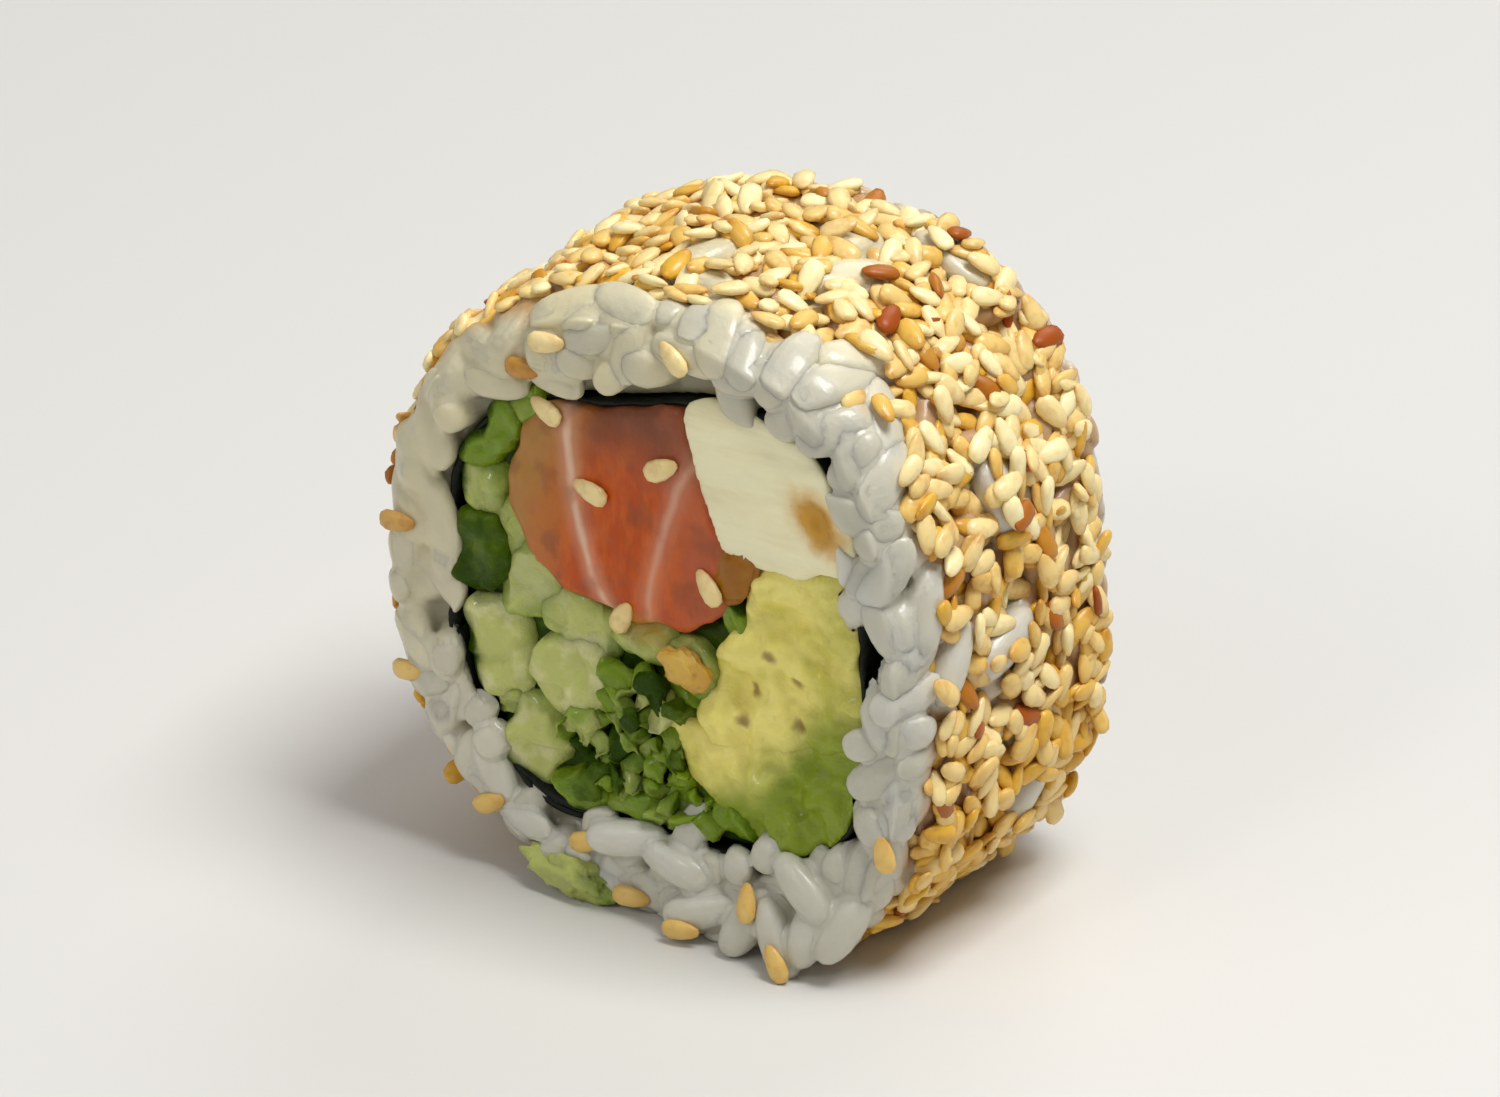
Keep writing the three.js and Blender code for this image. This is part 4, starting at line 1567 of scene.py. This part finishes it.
@dataclass
class CucumberBundle:
    """The bundle of cucumber: chunks that run through, small crumpled bits, and a wet core painted
    dark green as the shade in the gaps.
    """

    shape: RollShape
    material: bpy.types.Material
    core_sunk: float = 1.3
    core_skin: float = 0.45
    core_smoothing: int = 2
    bit: tuple[float, float, float] = (2.8, 1.7, 1.3)
    bit_apart: float = 1.05
    throws: int = 2500
    draw_seed: int = 29
    pale_share: float = 0.22
    dark_spots: tuple[tuple[float, float], ...] = ((-3.2, -11.0), (0.6, -6.2))
    spot_spread: float = 7.0
    chunks: tuple[Chunk, ...] = (
        Chunk(-12.6, 9.9, 1.5, 3.4, -38, 1.0, 160, 0, 0.35),
        Chunk(-10.1, 13.1, 1.2, 2.0, -50, 0.8, 140),
        Chunk(-13.8, 5.8, 2.1, 2.0, 10, 0.4, 175, 0.2),
        Chunk(-14.0, 1.1, 2.2, 2.9, -8, 1.0, 260, 0, 0.7),
        Chunk(-11.2, 3.4, 1.5, 2.8, 15, 0.45, None, 0.5, 0.12),
        Chunk(-9.8, 0.0, 2.4, 3.2, -25, 0.3, None, 0.2),
        Chunk(-12.4, -5.6, 2.7, 3.8, 12, 0.0, 195),
        Chunk(-5.8, -2.0, 3.4, 2.1, -14, 0.25, None, 0.1),
        Chunk(-6.3, -6.0, 3.4, 3.0, 20, 0.0),
        Chunk(-9.6, -11.9, 2.6, 3.1, -20, 0.15, 230),
        Chunk(-11.8, -9.9, 1.9, 1.4, 0, 0.4, None, 0.5),
        Chunk(-1.0, -1.6, 2.6, 1.8, 0, 0.35, None, 0.3),
        Chunk(2.9, -2.6, 2.0, 2.2, 0, 0.3, None, 0.2),
        Chunk(6.5, 1.8, 1.2, 1.2, 40, 0.95, 80, 0.2, 0.4),
        Chunk(2.0, -5.2, 1.5, 1.4, 0, 0.8, 250, 0.4),
        Chunk(-5.8, -14.4, 2.3, 1.7, 15, 0.85, 260, 0.3, 0.32),
        Chunk(-1.6, -14.3, 2.4, 1.4, 0, 0.8, None, 0.4, 0.2),
        Chunk(2.4, -12.8, 2.4, 1.6, -20, 0.95, None, 0.3, 0.25),
        Chunk(6.2, -13.4, 2.2, 1.4, -25, 0.95, None, 0.4, 0.3),
    )
    tangle_middle: tuple[float, float] = (-0.4, -9.9)
    tangle_reach: tuple[float, float] = (6.8, 4.9)
    tangle_turn: float = -14.0
    pale_above: float = -12.3
    meshes: list[bpy.types.Mesh] = field(default_factory=list, init=False)

    def core(self, frame: dict) -> bpy.types.Mesh:
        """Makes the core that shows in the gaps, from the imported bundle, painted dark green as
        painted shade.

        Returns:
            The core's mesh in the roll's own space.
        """
        solid = frame["nodes"]["cucumber_shreds"].data
        end = self.shape.half_length - self.core_sunk
        mesh = unpacked(
            solid, "cucumber_shade_core", self.shape, end, self.core_skin, self.core_smoothing
        )
        # A peel share of 0.75 paints the core dark green: painted shade in the gaps between the
        # pieces.
        give_traits(mesh, 1.0, 0.5, 0.75)
        return mesh

    def on_pale(self, across: float, up: float) -> bool:
        """Says whether a place lies on one of the palest chunks, which the tangle leaves clear."""
        pale = [chunk for chunk in self.chunks if chunk.tone == 0]
        off = [((across - c.across) / c.half_width, (up - c.up) / c.half_height) for c in pale]
        return any(math.hypot(*pair) < 1.0 for pair in off)

    def crumpled(self, place: Matrix, bend: float) -> Limit:
        """Gives the limit on a bit's points.

        Args:
            place: The matrix that places the bit.
            bend: How far it bows sideways, a millimetre from its middle.

        Returns:
            The function that bows and crumples the bit and keeps it in the filling.
        """
        middle = np.array(place.translation)
        axis, aside = (np.array(place.to_3x3().col[way].normalized()) for way in (0, 1))

        def limit(points: np.ndarray) -> np.ndarray:
            """Bows and crumples points, and keeps them in the filling."""
            reach = (points - middle) @ axis
            lumps = [noise.noise_vector(Vector(point) * 0.9) * 0.7 for point in points]
            crumple = [noise.noise_vector(Vector(point) * 2.4) * 0.22 for point in points]
            bowed = points + np.outer(reach**2 * bend, aside)
            placed = bowed + np.array(lumps) + np.array(crumple)
            radius = np.hypot(placed[:, 0], placed[:, 2])
            room = self.shape.filling.radius(np.arctan2(placed[:, 2], placed[:, 0])) - 0.4
            squeeze = np.minimum(room / radius, 1)
            return placed * np.column_stack([squeeze, np.ones(len(placed)), squeeze])

        return limit

    def add_bits(self, swarm: Swarm, side: int, taken: Skins, draw: random.Random) -> None:
        """Tangles small green bits in the lower middle of one cut face.

        Args:
            swarm: The bits so far.
            side: -1 for the front face, 1 for the back.
            taken: The other fillings, which they keep clear of.
            draw: The random source.
        """
        tilt = math.radians(self.tangle_turn)
        darts = Darts()
        for _ in range(self.throws):
            away, turn = math.sqrt(draw.random()), draw.uniform(0, 2 * math.pi)
            right = self.tangle_reach[0] * away * math.cos(turn)
            rise = self.tangle_reach[1] * away * math.sin(turn)
            across = self.tangle_middle[0] + right * math.cos(tilt) - rise * math.sin(tilt)
            up = self.tangle_middle[1] + right * math.sin(tilt) + rise * math.cos(tilt)
            room = float(self.shape.filling.radius(math.atan2(up, across))) - 1.2
            outside = math.hypot(across, up) > room
            if outside or self.on_pale(across, up) or taken.front(across, up)[0]:
                continue
            if not darts.lands(Vector((across, 0, up)), self.bit_apart):
                continue
            middle = Vector((across, side * (self.shape.half_length - draw.uniform(0.0, 0.9)), up))
            normal = Vector((draw.gauss(0, 0.8), side, draw.gauss(0, 0.8))).normalized()
            turn, tip, size = draw.uniform(0, math.pi), draw.gauss(0, 0.4), draw.uniform(0.6, 1.2)
            place = lie(middle, normal, turn, tip, size)
            bend = draw.choice((-1, 1)) * draw.uniform(0.05, 0.25)
            offs = ((across - x) ** 2 + (up - z) ** 2 for x, z in self.dark_spots)
            leafy = 0.22 + 0.6 * sum(math.exp(-off / self.spot_spread) for off in offs)
            leafy += draw.gauss(0, 0.2)
            pale = draw.random() < self.pale_share and up > self.pale_above
            tone = draw.uniform(0.25, 0.5) if pale else draw.uniform(0.6, 1.0)
            peel = 0.12 if pale else min(0.95, max(0.1, leafy))
            swarm.add(place, tone, peel, self.crumpled(place, bend))

    def build(self, frame: dict, taken: Skins) -> None:
        """Makes the core, the chunks and the bits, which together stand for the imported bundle.

        Args:
            taken: The other fillings.
        """
        draw = random.Random(self.draw_seed)
        gathered = bmesh.new()
        for chunk in self.chunks:
            part = meshed("chunk", chunk.build(self.shape.half_length, draw))
            gathered.from_mesh(part)
            bpy.data.meshes.remove(part)
        bits = Swarm(grain_template("bit", self.bit, 0.05, (12, 8), 0.7))
        for side in (-1, 1):
            self.add_bits(bits, side, taken, draw)
        for name, mesh in (
            ("cucumber_shade_core", self.core(frame)),
            ("cucumber_chunks", meshed("cucumber_chunks", gathered)),
            ("cucumber_tangle", bits.mesh("cucumber_tangle")),
        ):
            self.meshes.append(mesh.copy())
            piece = finished(name, mesh, self.shape, self.material)
            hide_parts("cucumber_shreds")


# ------------------------------------------------------------------ crumbs and sauce
@dataclass(frozen=True)
class SauceFinish:
    """Brown sauce: thin, glossy, amber and see-through where it is thinnest."""

    dark: str = "#c68812"
    amber: str = "#dca834"

    def material(self, shape: RollShape) -> bpy.types.Material:
        """Makes the sauce's material."""
        fixed = {"Roughness": 0.3, "Specular IOR Level": 0.2}
        fixed |= {"Coat Weight": 0.3, "Coat Roughness": 0.1}
        bench = Bench("brown_sauce", fixed)
        place = bench.place(shape)
        thin, strength, _ = bench.traits(Swarm.TRAIT)
        uneven = thin + (bench.cloud(place, 1.3, 3) - 0.5) * 0.5
        thinner = bench.step(uneven, -0.1, 0.6)
        bench.feed("Base Color", bench.blend(thinner, paint(self.dark), paint(self.amber)))
        bench.feed("Alpha", bench.step(uneven, 1.0, 0.3) * strength)
        return bench.material


@dataclass(frozen=True)
class Film:
    """A film of sauce on the front face: middle and half sizes in mm, turn in degrees, strength."""

    name: str
    across: float
    up: float
    half_width: float
    half_height: float
    turn: float
    strength: float
    thickness: float = 0.15
    lifted: float = 0.03
    segments: int = 28
    smoothing: int = 8

    def build(
        self, shape: RollShape, shown: Skins, material: bpy.types.Material
    ) -> bpy.types.Object:
        """Lays a disc-shaped sheet over whatever shows at the front.

        Args:
            shape: The roll's shape.
            shown: What shows at the front face.
            material: The film's finish.

        Returns:
            The film.
        """
        sheet = bmesh.new()
        bmesh.ops.create_grid(sheet, x_segments=self.segments, y_segments=self.segments, size=1.0)
        trait = sheet.verts.layers.float_color.new(Swarm.TRAIT)
        turn = math.radians(self.turn)
        for vertex in sheet.verts:
            x, y = vertex.co.x, vertex.co.y
            x, y = x * math.sqrt(1 - y * y / 2), y * math.sqrt(1 - x * x / 2)
            out = min(1.0, math.hypot(x, y))
            ragged = 1 + 0.4 * noise.noise(Vector((x * 1.6, self.across, y * 1.6)))
            right, rise = x * self.half_width * ragged, y * self.half_height * ragged
            across = self.across + right * math.cos(turn) - rise * math.sin(turn)
            up = self.up + right * math.sin(turn) + rise * math.cos(turn)
            hit, _ = shown.front(across, up)
            vertex.co = (across, hit.y if hit else -shape.half_length, up)
            vertex[trait] = (out, self.strength, 0.0, 1.0)
        depths = [vertex.co.y for vertex in sheet.verts]
        for _ in range(self.smoothing):
            bmesh.ops.smooth_vert(sheet, verts=sheet.verts, factor=0.5, use_axis_y=True)
        for vertex, depth in zip(sheet.verts, depths):
            thickness = self.thickness * math.sqrt(1 - vertex[trait].x ** 2)
            vertex.co.y = min(vertex.co.y, depth) - self.lifted - thickness
        bmesh.ops.recalc_face_normals(sheet, faces=sheet.faces)
        piece = finished(self.name, meshed(self.name, sheet), shape, material)
        return piece


@dataclass(frozen=True)
class Crumb:
    """A small soft lump: its middle and half sizes in mm, its turn round Y in degrees."""

    name: str
    middle: tuple[float, float, float]
    half: tuple[float, float, float]
    turn: float
    slot: str
    ragged: float = 0.55

    def build(
        self,
        shape: RollShape,
        material: bpy.types.Material,
        tone: float,
        far: tuple[float, float],
        mark: float = 0.0,
    ) -> bpy.types.Object:
        """Makes the lump.

        Args:
            shape: The roll's shape.
            material: The lump's finish.
            tone: The first number of its trait, from 0 to 1.
            far: The second number, at the lump's left and at its right.
            mark: The third number.

        Returns:
            The lump.
        """
        lump = bmesh.new()
        bmesh.ops.create_icosphere(lump, subdivisions=4, radius=1.0)
        for vertex in lump.verts:
            swell = 1 + self.ragged * noise.fractal(vertex.co * 1.5 + Vector(self.middle), 1, 2, 3)
            vertex.co = Vector(self.half) * vertex.co * swell
        turn = Matrix.Rotation(math.radians(self.turn), 3, "Y")
        bmesh.ops.rotate(lump, cent=(0, 0, 0), matrix=turn, verts=lump.verts)
        bmesh.ops.translate(lump, vec=self.middle, verts=lump.verts)
        mesh = meshed(self.name, lump)
        across = coordinates(mesh)[:, 0]
        give_traits(mesh, tone, np.interp(across, (across.min(), across.max()), far), mark)
        piece = finished(self.name, mesh, shape, material)
        return piece


# ------------------------------------------------------------------ studio
@dataclass(frozen=True)
class Lamp:
    """A square soft light: viewing angles in degrees, distance and side in m, power in watts."""

    name: str
    azimuth: float
    elevation: float
    away: float
    side: float
    power: float


@dataclass(frozen=True)
class Studio:
    """The pale floor, the soft lights and the camera at the photograph's viewing angle."""

    azimuth: float = 34.0
    elevation: float = 27.0
    distance: float = 1.1
    field_width: float = 0.1
    floor_size: float = 3.0
    floor_colour: str = "#d9d7d2"
    room_light: float = 0.2
    aim_height: float = 0.0225
    lamps: tuple[Lamp, ...] = (
        Lamp("key", 97, 70, 0.7, 0.3, 4.5),
        Lamp("front_fill", -20, 35, 0.9, 0.6, 1.15),
        Lamp("front_glint", -8, 42, 0.8, 0.09, 0.35),
        Lamp("back_rim", 190, 40, 0.8, 0.4, 1.2),
    )

    def hang(
        self, thing: bpy.types.Object, aim: Vector, azimuth: float, elevation: float, away: float
    ) -> None:
        """Moves a light or the camera to where it looks at a point.

        Args:
            thing: The light or the camera.
            aim: The point.
            azimuth: Its viewing angle round the slice, in degrees.
            elevation: Its height angle, in degrees.
            away: Its distance, in metres.
        """
        turn, rise = math.radians(azimuth), math.radians(elevation)
        flat = math.cos(rise)
        way = Vector((math.sin(turn) * flat, -math.cos(turn) * flat, math.sin(rise)))
        thing.location = aim + way * away
        thing.rotation_euler = way.to_track_quat("Z", "Y").to_euler()

    def floor(self) -> bpy.types.Object:
        """Lays the floor."""
        plane = bmesh.new()
        bmesh.ops.create_grid(plane, x_segments=1, y_segments=1, size=self.floor_size / 2)
        bench = Bench("pale_floor", {"Base Color": paint(self.floor_colour), "Roughness": 0.6})
        floor = linked("floor", meshed("floor", plane))
        floor.data.materials.append(bench.material)
        return floor

    def light(self, lamp: Lamp) -> None:
        """Hangs one lamp, which looks at the slice's foot."""
        light = bpy.data.lights.new(lamp.name, "AREA")
        light.size = lamp.side
        light.energy = lamp.power
        thing = linked(lamp.name, light)
        self.hang(thing, Vector(), lamp.azimuth, lamp.elevation, lamp.away)

    def camera(self) -> None:
        """Aims the camera at the slice's middle."""
        lens = bpy.data.cameras.new("camera")
        lens.lens = lens.sensor_width * self.distance / self.field_width
        lens.clip_end = 20
        camera = linked("camera", lens)
        aim = Vector((0, 0, self.aim_height))
        self.hang(camera, aim, self.azimuth, self.elevation, self.distance)
        bpy.context.scene.camera = camera

    def build(self) -> None:
        """Sets up the floor, the lights, the surroundings and the camera."""
        self.floor()
        for lamp in self.lamps:
            self.light(lamp)
        world = bpy.data.worlds.new("soft_room")
        world.use_nodes = True
        background = world.node_tree.nodes["Background"]
        background.inputs["Color"].default_value = (1.0, 1.0, 1.0, 1.0)
        background.inputs["Strength"].default_value = self.room_light
        bpy.context.scene.world = world
        bpy.context.scene.view_settings.view_transform = "Standard"
        self.camera()


def main() -> None:
    """Builds the slice's pieces in order, then the studio round it."""
    logging.basicConfig(level=logging.INFO, format="%(name)s %(message)s")
    noise.seed_set(NOISE_SEED)
    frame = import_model()
    shape = RollShape()

    cover = SeedCover(shape)
    rice = RiceRing(shape, cover)
    rice.build()
    NoriSheet(shape).build()
    avocado, salmon, cheese = (
        finish.material(shape) for finish in (AvocadoFinish(), SalmonFinish(), CheeseFinish())
    )
    mushy = {"slot": "avocado", "material": avocado, "cut": Cut.MUSHY, "swell": 0.5}
    strips = [
        Strip(shape, "salmon_strip", "salmon", "salmon", salmon, Cut.CLEAN, 12.2),
        Strip(
            shape, "cream_cheese_strip", "cream_cheese", "cheese", cheese, Cut.SOFT, 12.3, bulge=0.9
        ),
        Strip(shape, "avocado_wedge_upper", "avocado_upper", front=11.9, **mushy),
        Strip(shape, "avocado_wedge_lower", "avocado_lower", front=12.0, **mushy),
    ]
    for strip in strips:
        strip.build(frame)
    cucumber = CucumberFinish().material(shape)
    bundle = CucumberBundle(shape, cucumber)
    bundle.build(frame, Skins([strip.shown for strip in strips]))
    crumb = Crumb("cucumber_crumb", (-5.8, -12.6, -20.4), (3.2, 0.9, 1.4), 12, "cucumber")
    crumb.build(shape, cucumber, 0.35, (0.0, 1.0), 0.2)
    golden = SeedFinish(cream="#ecd67c", gold="#d2a02a", tip="#b27208")
    flake = Crumb("golden_crumb", (3.2, -12.4, -2.5), (1.9, 0.8, 1.4), 20, "rice", 0.4)
    flake.build(shape, golden.material(shape), 0.55, (0.1, 1.0))
    shown = Skins([*rice.meshes, *(strip.shown for strip in strips), *bundle.meshes])
    SesameCoat(shape, cover).build(Skins(rice.meshes), shown)
    sauce = SauceFinish().material(shape)
    pool = Crumb("sauce_pool", (6.9, -11.85, 5.4), (1.5, 0.5, 2.4), 25, "salmon", 0.25)
    darker = SauceFinish(dark="#9c5e04", amber="#bd8214")
    pool.build(shape, darker.material(shape), 0.1, (0.9, 0.9))
    for film in (
        Film("sauce_smear", 13.5, 10.9, 1.5, 2.2, 40, 0.75),
        Film("sauce_streak", -0.4, -0.7, 3.0, 1.6, -8, 0.35),
    ):
        film.build(shape, shown, sauce)

    Studio().build()


if __name__ == "__main__":
    main()
